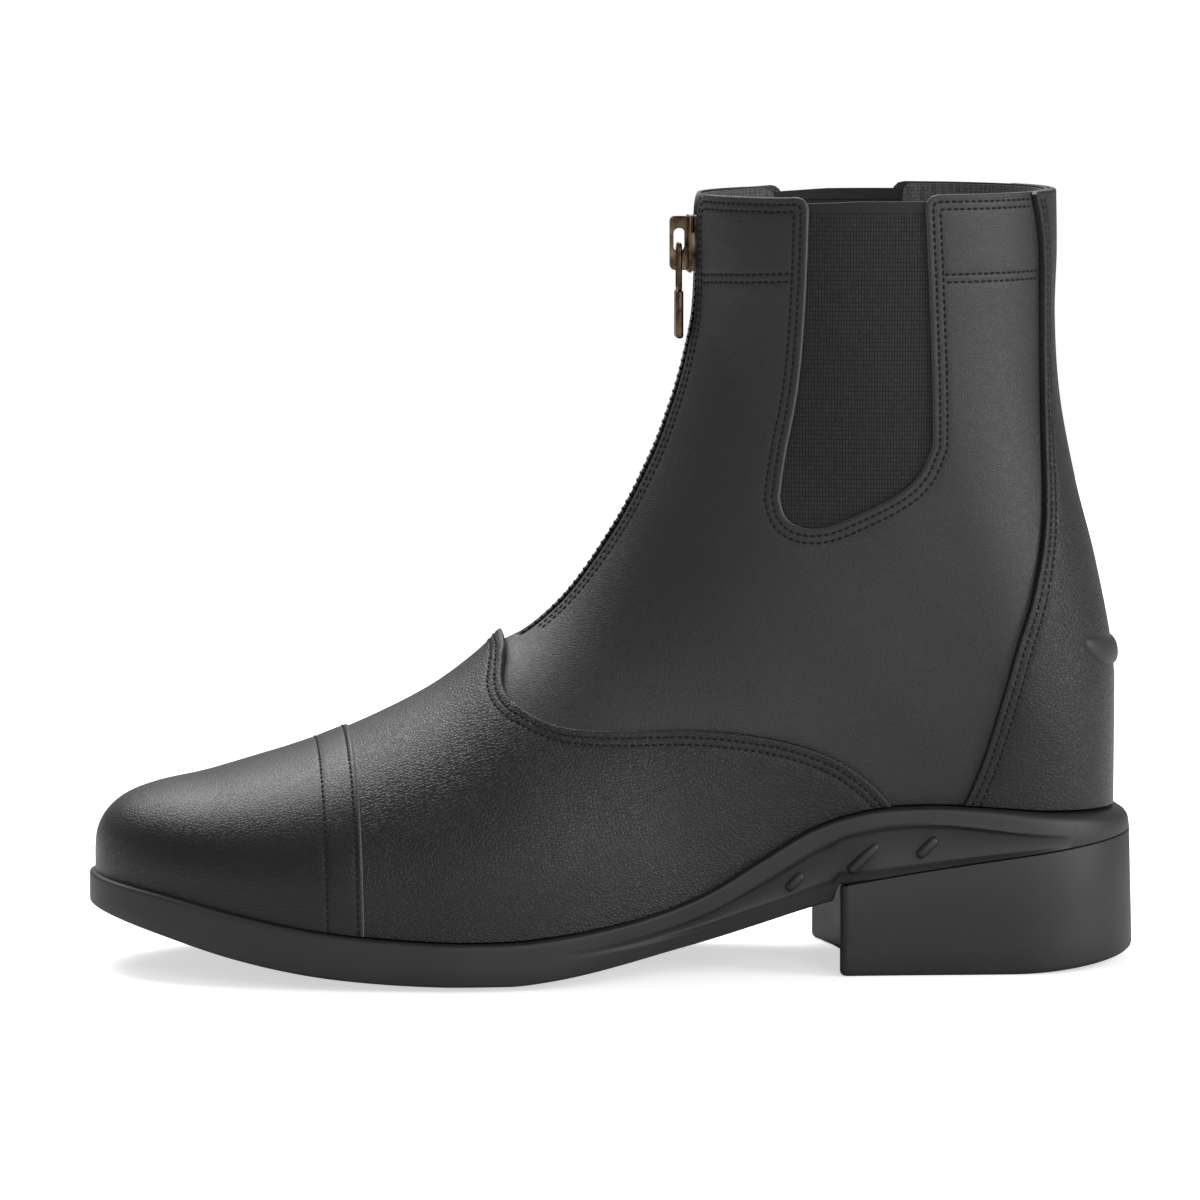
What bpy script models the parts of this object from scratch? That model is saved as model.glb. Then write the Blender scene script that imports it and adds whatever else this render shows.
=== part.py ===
"""Zip paddock boot, left foot.

Metres, +Z up. The toe points to -X, the outer side faces -Y, and the origin is on the floor
under the middle of the sole. The upper and its overlays come from one last surface, which is
lofted through the sections of a short table.
"""
import math

import bmesh
import bpy
import numpy as np
from mathutils import Vector

# Main sizes
SOLE_LENGTH = 0.276
SOLE_WIDTH = 0.099
BOOT_HEIGHT = 0.204
SHAFT_WIDTH = 0.072
INSTEP_RISE = 0.0728
HEEL_LENGTH = 0.0815

# Heights of the sole above the floor
LUG_DEPTH = 0.0012
BALL_EDGE = 0.0120
TOE_SPRING = 0.0130
HEEL_SEAT = 0.0442
WAIST_UNDERSIDE = 0.0200
SEAM_AT_BREAST = 0.0240
SEAM_AT_BACK = 0.0320

# Walls, laps and clearances
GAP = 0.0003
LAP_GAP = 0.0006
SOLE_GAP = 0.0005
INSOLE_GAP = 0.0010
WALL = 0.0020
RIM_SIDE = 0.0044
RIM_TOE = 0.0040
RIM_HEEL = 0.0070
VAMP_LEATHER = 0.0012
CAP_LEATHER = 0.0019
COUNTER_LEATHER = 0.0012
INSOLE_THICKNESS = 0.0030
SOLE_SIDE_STEP = 0.0009
LUG_INSET = 0.0110
LUG_LENGTH = 0.0085
LUG_PITCH = 0.0122
LUG_COUNT = 9
HEEL_EDGE_RADIUS = 0.0016
SOLE_LIP = 0.0009
WAIST_LEAN = 0.0035
SLIM_END = 0.0040

# Elastic gores
GORE_THICKNESS = 0.0012
GORE_RECESS = 0.0005
GORE_DROP = 0.0020

# Front zip
ZIP_SLOT = 0.0080
ZIP_CORNER = 0.0045
TAPE_THICKNESS = 0.0010
TAPE_RECESS = 0.0011
CHAIN_WIDTH = 0.0050
CHAIN_PROUD = 0.0004
SLIDER_HEIGHT = 0.0150
SLIDER_WIDTH = 0.0072
SLIDER_THICKNESS = 0.0024
SLIDER_DROP = 0.0070
BRIDGE_WIDTH = 0.0026
BRIDGE_WALL = 0.0009
BRIDGE_SLOT = 0.0030
PIN_RADIUS = 0.0007
BAIL_WIDTH = 0.0058
BAIL_DROP = 0.0125
TAB_WIDTH = 0.0062
TAB_THICKNESS = 0.0020
TAB_LENGTH = 0.0120
PULL_CLEARANCE = 0.0003635

# Spur rest
SPUR_HEIGHT = 0.0820
SPUR_WIDTH = 0.0440
SPUR_DEPTH = 0.0036
SPUR_THICKNESS = 0.0064

# Mesh steps
STEPS_AROUND = 12
ROW_STEPS = (
    # first_row, last_row, steps
    (0, 10, 13),
    (10, 12, 5),
    (12, 15, 8),
    (15, 17, 3),
    (17, 25, 12),
)

# Sole outline: place from the toe as a share of the length; half width and swing towards the
# inner side as shares of the width across the ball.
OUTLINE = (
    # place, half, swing
    (0.00, 0.445, 0.050),
    (0.10, 0.460, 0.045),
    (0.20, 0.483, 0.028),
    (0.28, 0.497, 0.010),
    (0.35, 0.500, -0.008),
    (0.43, 0.475, -0.020),
    (0.51, 0.420, -0.022),
    (0.59, 0.368, -0.012),
    (0.67, 0.343, -0.002),
    (0.75, 0.342, 0.000),
    (0.84, 0.350, 0.000),
    (0.92, 0.352, 0.000),
    (1.00, 0.350, 0.000),
)
TOE_ROUND = 0.27
HEEL_ROUND = 0.125
ROUND_POWER = 2.15

# Side of the sole: the shares of TOE_SPRING and of the heel's rise on the top edge, and the
# shares of TOE_SPRING and of the waist's rise on the underside.
PROFILE = (
    # place, toe_top, heel_top, toe_under, waist_under
    (0.000, 1.02, 0.000, 1.200, 0.000),
    (0.060, 0.84, 0.000, 0.860, 0.000),
    (0.130, 0.52, 0.000, 0.460, 0.000),
    (0.200, 0.25, 0.000, 0.190, 0.000),
    (0.270, 0.09, 0.000, 0.050, 0.000),
    (0.330, 0.02, 0.000, 0.000, 0.000),
    (0.390, 0.00, 0.010, 0.000, 0.000),
    (0.430, 0.00, 0.040, 0.000, 0.060),
    (0.480, 0.00, 0.100, 0.000, 0.170),
    (0.530, 0.00, 0.195, 0.000, 0.310),
    (0.580, 0.00, 0.350, 0.000, 0.470),
    (0.630, 0.00, 0.595, 0.000, 0.670),
    (0.680, 0.00, 0.835, 0.000, 0.890),
    (0.730, 0.00, 0.965, 0.000, 1.090),
    (0.780, 0.00, 1.000, 0.000, 1.200),
    (0.840, 0.00, 0.985, 0.000, 1.200),
    (0.900, 0.00, 0.940, 0.000, 1.200),
    (1.000, 0.00, 0.890, 0.000, 1.200),
)

# Sculpted waist: where the arched rib and the low rib run between the underside (0) and the
# top edge (1) of the sole's side, and how deep the panel between them is.
WAIST_PANEL = (
    # place, arch_rib, low_rib, depth
    (0.440, 0.62, 0.50, 0.0),
    (0.500, 0.56, 0.42, 0.3),
    (0.560, 0.56, 0.34, 0.8),
    (0.620, 0.60, 0.26, 1.0),
    (0.690, 0.68, 0.17, 1.0),
    (0.750, 0.71, 0.08, 1.0),
    (0.810, 0.66, 0.06, 1.0),
    (0.870, 0.50, 0.05, 0.8),
    (0.930, 0.30, 0.04, 0.0),
)

# Raised pills on the panel: place along the sole, height between underside and top edge,
# length as a share of the sole's length.
PILLS = (
    # place, height, length
    (0.668, 0.30, 0.020),
    (0.738, 0.40, 0.036),
    (0.805, 0.42, 0.024),
)

# Levels of the heel block from its seam down to the floor; inset and height are shares of
# HEEL_EDGE_RADIUS.
HEEL_LEVELS = (
    # inset, seam_share, height
    (0.00, 1.0, 0.0),
    (0.00, 0.0, 2.0),
    (0.15, 0.0, 0.6),
    (1.00, 0.0, 0.0),
)

# Sections of the last, from the toe to the collar. Each runs from its front point on the ridge
# or shin to its back point on the sole or heel. front and back are places along the last as
# shares of its length from the toe. The front's height is foot times the rise of the instep
# above the sole edge plus shin times what is left up to the collar; heel is the share of the
# way from the heel seat to the collar. hug is the share that the sole's own width has in the
# half width, and girth the share of half the shaft's width in the rest. widest and crown shape
# the curve from the ridge down, round is the back's rounding as a share of the heel's, and
# ridge is the swing of the ridge towards the inner side as a share of SOLE_WIDTH.
SECTIONS = (
    # front, foot, shin, back, heel, hug, girth, widest, crown, round, ridge
    (0.0000, 0.085, 0.000, 0.0000, 0.00, 1.0, 1.000, 0.80, 2.20, 1.00, 0.050),
    (0.0021, 0.150, 0.000, 0.0028, 0.00, 1.0, 1.000, 0.80, 2.20, 1.00, 0.050),
    (0.0109, 0.210, 0.000, 0.0135, 0.00, 1.0, 1.000, 0.80, 2.20, 1.00, 0.050),
    (0.0281, 0.266, 0.000, 0.0328, 0.00, 1.0, 1.000, 0.80, 2.20, 1.00, 0.050),
    (0.0578, 0.322, 0.000, 0.0641, 0.00, 1.0, 1.000, 0.79, 2.20, 1.00, 0.050),
    (0.1016, 0.390, 0.000, 0.1068, 0.00, 1.0, 1.000, 0.78, 2.15, 1.00, 0.048),
    (0.1568, 0.487, 0.000, 0.1609, 0.00, 1.0, 1.000, 0.77, 2.10, 1.00, 0.046),
    (0.2161, 0.590, 0.000, 0.2192, 0.00, 1.0, 1.000, 0.78, 2.03, 1.00, 0.044),
    (0.2765, 0.705, 0.000, 0.2807, 0.00, 1.0, 1.000, 0.80, 1.94, 1.00, 0.042),
    (0.3369, 0.835, 0.000, 0.3474, 0.00, 1.0, 1.000, 0.82, 1.84, 1.00, 0.038),
    (0.3953, 1.000, 0.000, 0.4244, 0.00, 1.0, 1.000, 0.82, 1.76, 1.00, 0.032),
    (0.4515, 1.000, 0.093, 0.5161, 0.00, 1.0, 1.000, 0.80, 1.72, 1.00, 0.024),
    (0.5036, 1.000, 0.256, 0.6306, 0.00, 0.8, 0.920, 0.74, 1.72, 1.00, 0.014),
    (0.5400, 1.000, 0.412, 0.7556, 0.00, 0.4, 0.880, 0.62, 1.76, 1.00, 0.006),
    (0.5598, 1.000, 0.528, 0.8702, 0.00, 0.1, 0.900, 0.54, 1.82, 1.00, 0.002),
    (0.5692, 1.000, 0.597, 0.9504, 0.00, 0.0, 0.910, 0.51, 1.88, 1.00, 0.000),
    (0.5746, 1.000, 0.645, 0.9889, 0.00, 0.0, 0.920, 0.50, 1.92, 1.00, 0.000),
    (0.5786, 1.000, 0.685, 1.0000, 0.00, 0.0, 0.925, 0.50, 1.95, 1.00, 0.000),
    (0.5815, 1.000, 0.720, 1.0000, 0.08, 0.0, 0.930, 0.50, 1.97, 1.02, 0.000),
    (0.5833, 1.000, 0.755, 0.9988, 0.23, 0.0, 0.935, 0.50, 2.00, 1.06, 0.000),
    (0.5843, 1.000, 0.790, 0.9806, 0.39, 0.0, 0.940, 0.50, 2.00, 1.12, 0.000),
    (0.5848, 1.000, 0.825, 0.9598, 0.52, 0.0, 0.950, 0.50, 2.00, 1.18, 0.000),
    (0.5848, 1.000, 0.865, 0.9431, 0.66, 0.0, 0.965, 0.50, 2.00, 1.25, 0.000),
    (0.5848, 1.000, 0.910, 0.9374, 0.79, 0.0, 0.985, 0.50, 2.00, 1.31, 0.000),
    (0.5853, 1.000, 0.955, 0.9389, 0.90, 0.0, 1.000, 0.50, 2.00, 1.36, 0.000),
    (0.5869, 1.000, 1.000, 0.9379, 1.00, 0.0, 1.010, 0.50, 2.00, 1.40, 0.000),
)
COLUMNS = ("front", "foot", "shin", "back", "heel", "hug", "girth", "widest", "crown", "round", "ridge")
THROAT_ROW = 10
HEEL_ROW = 17
FOOT_BULGE = 0.0006
BULGE_FADE = 0.0200
SEAT_BLEND = 0.0300
OPENING_ROWS = 5.0
ROW_MARGIN = 0.2

# Edges of the leather pieces in the side view. Places are shares of SOLE_LENGTH from the
# middle, heights are shares of BOOT_HEIGHT.
VAMP_EDGE = (
    # place, height
    (-0.1065, 0.5000),
    (-0.1080, 0.4250),
    (-0.1105, 0.3870),
    (-0.1110, 0.3700),
    (-0.1060, 0.3540),
    (-0.0920, 0.3390),
    (-0.0700, 0.3250),
    (-0.0450, 0.3180),
    (0.0000, 0.3160),
    (0.0600, 0.3180),
    (0.1100, 0.3130),
    (0.1550, 0.3020),
    (0.1950, 0.2830),
    (0.2220, 0.2610),
    (0.2430, 0.2360),
    (0.2580, 0.2080),
)
VAMP_LAST_ROW = 15
COUNTER_FIRST_ROW = 12
CAP_EDGE = -0.2490
COUNTER_EDGE = (
    # height, place
    (0.205, 0.3180),
    (0.270, 0.3380),
    (0.350, 0.3560),
    (0.420, 0.3700),
    (0.490, 0.3860),
    (0.580, 0.3975),
    (0.700, 0.3985),
    (0.850, 0.3985),
    (0.940, 0.3960),
    (1.000, 0.3870),
)
GORE_SIDES = (
    # height, front, rear
    (0.560, 0.1400, 0.2900),
    (0.600, 0.1385, 0.2900),
    (0.660, 0.1415, 0.2900),
    (0.755, 0.1520, 0.2895),
    (0.870, 0.1590, 0.2860),
    (1.000, 0.1640, 0.2810),
)
GORE_FOOT = (
    # across, height
    (0.00, 0.6120),
    (0.03, 0.5930),
    (0.10, 0.5790),
    (0.22, 0.5740),
    (0.36, 0.5790),
    (0.60, 0.6000),
    (0.80, 0.6220),
    (0.92, 0.6450),
    (1.00, 0.6800),
)


def curve(table, value, column, key=0):
    """Smooth reading of one column of a table at a given value of its key column."""
    xs = [row[key] for row in table]
    ys = [row[column] for row in table]
    value = min(max(value, min(xs)), max(xs))
    i = max(0, min(len(xs) - 2, sum(1 for x in xs[1:-1] if x <= value)))

    def slope(k):
        low, high = max(k - 1, 0), min(k + 1, len(xs) - 1)
        return (ys[high] - ys[low]) / (xs[high] - xs[low])

    span = xs[i + 1] - xs[i]
    t = (value - xs[i]) / span
    a = ys[i] * (1 + 2 * t) * (1 - t) ** 2 + ys[i + 1] * t * t * (3 - 2 * t)
    return a + span * (slope(i) * t * (1 - t) ** 2 - slope(i + 1) * t * t * (1 - t))


def place_of(x):
    """Share of the sole's length from the toe."""
    return x / SOLE_LENGTH + 0.5


def round_end(share, reach):
    """Rounding of the outline towards one end, from 0 at the end to 1 past its reach."""
    left = 1 - min(max(share / reach, 0), 1)
    return (1 - left ** ROUND_POWER) ** (1 / ROUND_POWER)


def outline(x, toe_inset=0.0, heel_inset=0.0, side_inset=0.0, heel_round=True):
    """Half width and swing of the sole's outline, moved in by the insets."""
    middle = (toe_inset - heel_inset) / 2
    share = (x - middle) / (SOLE_LENGTH - toe_inset - heel_inset) + 0.5
    ends = round_end(share, TOE_ROUND)
    if heel_round:
        ends *= round_end(1 - share, HEEL_ROUND)
    half = (curve(OUTLINE, share, 1) * SOLE_WIDTH - side_inset) * ends
    return half, curve(OUTLINE, share, 2) * SOLE_WIDTH


def upper_outline(x, inset=0.0):
    """Half width and swing of the last's edge where the upper meets the sole."""
    return outline(x, RIM_TOE + inset, RIM_HEEL + inset, RIM_SIDE + inset)


def sole_top(x):
    """Height of the sole's top edge."""
    place = place_of(x)
    toe = curve(PROFILE, place, 1) * TOE_SPRING
    return BALL_EDGE + toe + curve(PROFILE, place, 2) * (HEEL_SEAT - BALL_EDGE)


def heel_breast():
    """Place of the heel block's front face."""
    return SOLE_LENGTH / 2 - HEEL_LENGTH


def heel_seam(x):
    """Height of the seam between the sole and the heel block."""
    share = (x - heel_breast()) / HEEL_LENGTH
    return SEAM_AT_BREAST + share * (SEAM_AT_BACK - SEAM_AT_BREAST)


def sole_underside(x):
    """Height of the sole's underside, without its lugs."""
    if x > heel_breast() - GAP:
        return heel_seam(x)
    place = place_of(x)
    share = max(curve(PROFILE, place, 4), 0.0) / curve(PROFILE, place_of(heel_breast()), 4)
    toe = max(curve(PROFILE, place, 3), 0.0) * TOE_SPRING
    return LUG_DEPTH + toe + share * (WAIST_UNDERSIDE - LUG_DEPTH)


def section(row):
    """Section of the last at a row number of the table, which may lie between two rows."""
    low = min(max(int(math.floor(row)), 0), len(SECTIONS) - 2)
    t = row - low
    values = {}
    for column, name in enumerate(COLUMNS):
        ys = [SECTIONS[min(max(low + k, 0), len(SECTIONS) - 1)][column] for k in (-1, 0, 1, 2)]
        m0, m1 = (ys[2] - ys[0]) / 2, (ys[3] - ys[1]) / 2
        bend = t * (1 - t) * (m0 * (1 - t) - m1 * t)
        values[name] = ys[1] * (1 + 2 * t) * (1 - t) ** 2 + ys[2] * t * t * (3 - 2 * t) + bend
    return values


def last_x(share):
    """Place of a share of the last's length from its toe."""
    length = SOLE_LENGTH - RIM_TOE - RIM_HEEL
    return -SOLE_LENGTH / 2 + RIM_TOE + share * length


def throat_height():
    """Height of the ridge where the instep ends and the shin begins."""
    return sole_top(last_x(SECTIONS[THROAT_ROW][0])) + INSTEP_RISE


def ends_of(row):
    """Front and back points of a section in the side view, with the section itself."""
    cut = section(row)
    front_x = last_x(cut["front"])
    base = sole_top(min(front_x, last_x(SECTIONS[THROAT_ROW][0])))
    front_z = base + min(cut["foot"], 1.0) * INSTEP_RISE + cut["shin"] * (BOOT_HEIGHT - throat_height())
    back_x = last_x(min(cut["back"], 1.0))
    seat = sole_top(back_x) + SOLE_GAP
    rise = max(cut["heel"], 0.0) if row > HEEL_ROW else 0.0
    return (front_x, front_z), (back_x, seat + rise * (BOOT_HEIGHT - seat)), cut


def back_line():
    """Heights and places of the back of the boot in fine steps from the seat to the collar."""
    rows = np.linspace(HEEL_ROW, len(SECTIONS) - 1, 961)
    points = [ends_of(row)[1] for row in rows]
    return np.array([p[1] for p in points]), np.array([p[0] for p in points])


BACK_HEIGHTS, BACK_PLACES = back_line()


def opening(row):
    """How open a section is at the sole: 1 along the foot, falling to 0 at the heel's back."""
    share = min(max((HEEL_ROW - row) / OPENING_ROWS, 0), 1)
    return share * share * (3 - 2 * share)


def last_point(row, around, open_share=None):
    """Point of the last; around runs from -1 over the ridge at 0 to 1, outer side negative."""
    front, back, cut = ends_of(row)
    length = last_x(1.0) - last_x(0.0)
    if open_share is None:
        open_share = opening(row)
    turn = abs(around) * math.pi
    share = (1 - open_share) * (1 - math.cos(turn)) / 2 + open_share * (1 - math.cos(turn / 2))
    x = front[0] + (back[0] - front[0]) * share
    z = front[1] + (back[1] - front[1]) * share
    flat_edge, swing = outline(back[0], RIM_TOE, RIM_HEEL, RIM_SIDE, heel_round=False)
    bulge = FOOT_BULGE * min(flat_edge / BULGE_FADE, 1)
    half = cut["hug"] * (flat_edge + bulge) + (1 - cut["hug"]) * cut["girth"] * SHAFT_WIDTH / 2
    near_sole = max(1 - max(z - sole_top(x) - SOLE_GAP, 0) / SEAT_BLEND, 0) ** 2
    sole_half = outline(x, RIM_TOE, RIM_HEEL, RIM_SIDE, heel_round=False)[0] if near_sole > 0 else 0.0
    half += (sole_half - half) * near_sole
    crown = (1 - (1 - min(share / cut["widest"], 1)) ** cut["crown"]) ** (1 / cut["crown"])
    behind = float(np.interp(z, BACK_HEIGHTS, BACK_PLACES)) - x
    if row >= HEEL_ROW and share > 1 - 1e-9:
        behind = 0.0
    half *= crown * round_end(behind / length, HEEL_ROUND * cut["round"])
    centre = cut["ridge"] * SOLE_WIDTH * (1 - share) + swing * share * (1 if row < HEEL_ROW else 0)
    return Vector((x, centre + math.copysign(half, around), z))


def last_normal(row, around):
    """Outward direction of the last at a point."""
    top = len(SECTIONS) - 1
    seam = row < 1e-6 or (row > HEEL_ROW - 1e-6 and abs(around) > 1 - 1e-6)
    step_row, step_around = 0.02, 0.004
    row = min(max(row, 0.12), top - step_row)
    closed = row > HEEL_ROW - 1e-6
    open_share = opening(row)

    def near(value):
        if abs(value) <= 1:
            return last_point(row, value, open_share)
        wrapped = value - math.copysign(2, value) if closed else math.copysign(1, value)
        return last_point(row, wrapped, open_share)

    across = near(around + step_around) - near(around - step_around)
    along = last_point(row + step_row, around, open_share) - last_point(row - step_row, around, open_share)
    normal = along.cross(across)
    if seam:
        normal.y = 0
    return normal.normalized()


def shell_point(row, around, offset):
    """Point at an offset outside the last, which stays level at the collar and at the sole."""
    base = last_point(row, around)
    normal = last_normal(row, around)
    if row >= len(SECTIONS) - 1 - 1e-6 or (abs(around) >= 1 - 1e-6 and row <= HEEL_ROW):
        flat = Vector((normal.x, normal.y, 0))
        normal = flat.normalized() if flat.length > 1e-6 else normal
    return base + offset * normal


def side_lookup():
    """Sections in fine steps, kept as arrays, for finding which one passes a side-view point."""
    rows = np.linspace(0, len(SECTIONS) - 1, 1251)
    ends = [ends_of(row)[:2] for row in rows]
    return rows, np.array([e[0] for e in ends]), np.array([e[1] for e in ends])


LOOKUP = side_lookup()


def last_at(x, z, side):
    """Section row and place around the last of the point seen at x, z from one side."""
    rows, front, back = LOOKUP
    cross = (back[:, 0] - front[:, 0]) * (z - front[:, 1]) - (back[:, 1] - front[:, 1]) * (x - front[:, 0])
    flips = np.nonzero((cross[:-1] <= 0) & (cross[1:] > 0) | (cross[:-1] > 0) & (cross[1:] <= 0))[0]
    best = (1e9, rows[-1], 0.0)
    for i in flips:
        part = cross[i] / (cross[i] - cross[i + 1])
        row = rows[i] + part * (rows[i + 1] - rows[i])
        a = front[i] + part * (front[i + 1] - front[i])
        b = back[i] + part * (back[i + 1] - back[i])
        reach = b - a
        share = ((x - a[0]) * reach[0] + (z - a[1]) * reach[1]) / (reach @ reach)
        miss = max(-share, share - 1, 0)
        if miss < best[0]:
            best = (miss, row, min(max(share, 0.0), 1.0))
    row, share = best[1], best[2]
    low, high = 0.0, 1.0
    front_point, back_point, _ = ends_of(row)
    aim = share * (math.dist(front_point, back_point))
    for _ in range(30):
        middle = (low + high) / 2
        point = last_point(row, middle)
        if math.dist((point.x, point.z), front_point) < aim:
            low = middle
        else:
            high = middle
    return row, side * (low + high) / 2


def side_point(x, z, side, offset):
    """Point outside the last by an offset, where x, z is seen from one side."""
    row, around = last_at(x, z, side)
    return last_point(row, around) + offset * last_normal(row, around)


def material(name, colour, roughness, metallic=0.0):
    """Principled material with one colour."""
    made = bpy.data.materials.new(name)
    made.use_nodes = True
    shader = made.node_tree.nodes["Principled BSDF"]
    shader.inputs["Base Color"].default_value = (*colour, 1)
    shader.inputs["Roughness"].default_value = roughness
    shader.inputs["Metallic"].default_value = metallic
    return made


def add_object(name, mesh_data, finish, smooth=True):
    """Object of a bmesh, with doubles merged and faces pointing out."""
    bmesh.ops.remove_doubles(mesh_data, verts=mesh_data.verts, dist=5e-6)
    bmesh.ops.dissolve_degenerate(mesh_data, dist=2e-6, edges=mesh_data.edges)
    bmesh.ops.recalc_face_normals(mesh_data, faces=mesh_data.faces)
    mesh = bpy.data.meshes.new(name)
    mesh_data.to_mesh(mesh)
    mesh_data.free()
    made = bpy.data.objects.new(name, mesh)
    bpy.context.collection.objects.link(made)
    mesh.materials.append(finish)
    if smooth:
        mesh.shade_smooth()
        mesh.set_sharp_from_angle(angle=math.radians(35))
    return made


def skin(mesh_data, grid, wrap=False):
    """Faces over a grid of vertices."""
    for first, second in zip(grid, grid[1:]):
        count = len(first)
        for j in range(count if wrap else count - 1):
            k = (j + 1) % count
            corners = [first[j], first[k], second[k], second[j]]
            unique = list(dict.fromkeys(corners))
            if len(unique) > 2:
                mesh_data.faces.new(unique)


def slab(mesh_data, outer, inner):
    """Closed wall between two grids of points of the same size."""
    out = [[mesh_data.verts.new(p) for p in row] for row in outer]
    back = [[mesh_data.verts.new(p) for p in row] for row in inner]
    skin(mesh_data, out)
    skin(mesh_data, back)
    skin(mesh_data, [out[0], back[0]])
    skin(mesh_data, [out[-1], back[-1]])
    skin(mesh_data, [[row[0] for row in out], [row[0] for row in back]])
    skin(mesh_data, [[row[-1] for row in out], [row[-1] for row in back]])


def tube(mesh_data, rings):
    """Closed solid through rings of points, with flat ends."""
    grid = [[mesh_data.verts.new(p) for p in ring] for ring in rings]
    skin(mesh_data, grid, wrap=True)
    mesh_data.faces.new(grid[0])
    mesh_data.faces.new(grid[-1])


def cut_with(target, cutter, solver_operation="DIFFERENCE"):
    """Boolean on a target, with its other solid kept as a hidden guide."""
    cutter.hide_render = True
    cutter.display_type = "WIRE"
    boolean = target.modifiers.new(cutter.name, "BOOLEAN")
    boolean.object = cutter
    boolean.operation = solver_operation
    boolean.solver = "EXACT"


def end_spaced(low, high, count, sharp_low=True, sharp_high=True):
    """Places between two ends, packed close at the ends that are round."""
    shares = [i / (count - 1) for i in range(count)]
    if sharp_low and sharp_high:
        shares = [(1 - math.cos(math.pi * s)) / 2 for s in shares]
    elif sharp_low:
        shares = [1 - math.cos(math.pi / 2 * s) for s in shares]
    elif sharp_high:
        shares = [math.sin(math.pi / 2 * s) for s in shares]
    return [low + (high - low) * s for s in shares]


def section_rows(first, last, count):
    """Row numbers at even steps."""
    return [first + (last - first) * i / (count - 1) for i in range(count - 1)] + [last]


def around_steps():
    """Places around a section, the same on both sides of the ridge."""
    half = [i / STEPS_AROUND for i in range(STEPS_AROUND + 1)]
    return [-value for value in reversed(half[1:])] + half


def base_rows(first=0.0, last=None):
    """Row numbers of the upper's mesh between two rows, with both of them."""
    last = len(SECTIONS) - 1 if last is None else last
    rows = [0]
    for low, high, steps in ROW_STEPS:
        rows += section_rows(low, high, steps + 1)[1:]
    return [first] + [row for row in rows if first + ROW_MARGIN < row < last - ROW_MARGIN] + [last]


def shell_mesh(rows, inner_offset, outer_offset):
    """Closed wall between two offsets of the last, open at its first and last row and the sole."""
    mesh_data = bmesh.new()
    out, back = [
        [[mesh_data.verts.new(shell_point(row, place, offset)) for place in around_steps()] for row in rows]
        for offset in (outer_offset, inner_offset)
    ]
    skin(mesh_data, out)
    skin(mesh_data, back)
    skin(mesh_data, [out[-1], back[-1]])
    if rows[0] > 0:
        skin(mesh_data, [out[0], back[0]])
    on_sole = [i for i, row in enumerate(rows) if row <= HEEL_ROW]
    for end in (0, -1):
        skin(mesh_data, [[out[i][end] for i in on_sole], [back[i][end] for i in on_sole]])
    bmesh.ops.triangulate(mesh_data, faces=mesh_data.faces, quad_method="FIXED")
    return mesh_data


def build_upper(finish):
    """Quarters and lining: one hollow wall, open at the collar and underneath."""
    return add_object("upper", shell_mesh(base_rows(), -WALL, 0.0), finish)


def gore_grid(grow=0.0, columns=9, rows=6, rise=0.0):
    """Side-view points of the gore, grown by a clearance, from its foot to its top."""
    grid = []
    for k in range(rows):
        line = []
        for across in end_spaced(0, 1, columns):
            foot = curve(GORE_FOOT, across, 1) * BOOT_HEIGHT - grow
            top = BOOT_HEIGHT - GORE_DROP + rise
            z = foot + (top - foot) * k / (rows - 1)
            front = curve(GORE_SIDES, z / BOOT_HEIGHT, 1) * SOLE_LENGTH - grow
            rear = curve(GORE_SIDES, z / BOOT_HEIGHT, 2) * SOLE_LENGTH + grow
            line.append((front + (rear - front) * across, z))
        grid.append(line)
    return grid


def build_gore(name, side, finish):
    """Elastic panel that fills its opening, set back a little from the leather."""
    outer, inner = [], []
    for line in gore_grid():
        outer.append([])
        inner.append([])
        for x, z in line:
            point = side_point(x, min(z, BOOT_HEIGHT), side, 0.0)
            y = point.y - side * GORE_RECESS
            outer[-1].append((x, y, z))
            inner[-1].append((x, y - side * GORE_THICKNESS, z))
    mesh_data = bmesh.new()
    slab(mesh_data, outer, inner)
    return add_object(name, mesh_data, finish)


def gore_cutter(side, finish):
    """Guide solid that opens the upper for one gore."""
    grid = gore_grid(grow=GAP, rise=4 * GORE_DROP)
    edge = grid[0] + [line[-1] for line in grid[1:]]
    edge += list(reversed(grid[-1][:-1])) + [line[0] for line in reversed(grid[1:-1])]
    mesh_data = bmesh.new()
    near, far = SHAFT_WIDTH * 0.15, SHAFT_WIDTH * 0.85
    tube(mesh_data, [[(x, side * y, z) for x, z in edge] for y in (near, far)])
    return add_object("gore_guide_" + ("outer" if side < 0 else "inner"), mesh_data, finish, smooth=False)


def shin_frame(height):
    """Point, outward and upward directions on the front profile at a height."""
    low, high = 8.0, len(SECTIONS) - 1.0
    for _ in range(40):
        middle = (low + high) / 2
        if ends_of(middle)[0][1] < height:
            low = middle
        else:
            high = middle
    row = (low + high) / 2
    point = last_point(row, 0.0)
    ahead = last_point(min(row + 0.15, len(SECTIONS) - 1), 0.0)
    behind = last_point(row - 0.15, 0.0)
    up = (ahead - behind).normalized()
    side = Vector((0, 1, 0))
    out = side.cross(up).normalized()
    out = out if out.x < 0 else -out
    return point, out, up


def shin_bar(mesh_data, low, high, steps, half_width, near, far):
    """Bar along the shin between two heights; near and far are offsets from its surface."""
    rings = []
    for i in range(steps):
        height = low + (high - low) * i / (steps - 1)
        point, out, up = shin_frame(min(height, BOOT_HEIGHT))
        point = point + up * max(height - BOOT_HEIGHT, 0)
        width = half_width(height) if callable(half_width) else half_width
        side = Vector((0, width, 0))
        rings.append([point + out * far - side, point + out * far + side,
                      point + out * near + side, point + out * near - side])
    tube(mesh_data, rings)


def zip_foot():
    """Height of the lower end of the zip, just above the vamp's peak."""
    return ends_of(10.0)[0][1] + 2 * GAP + VAMP_LEATHER


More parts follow.
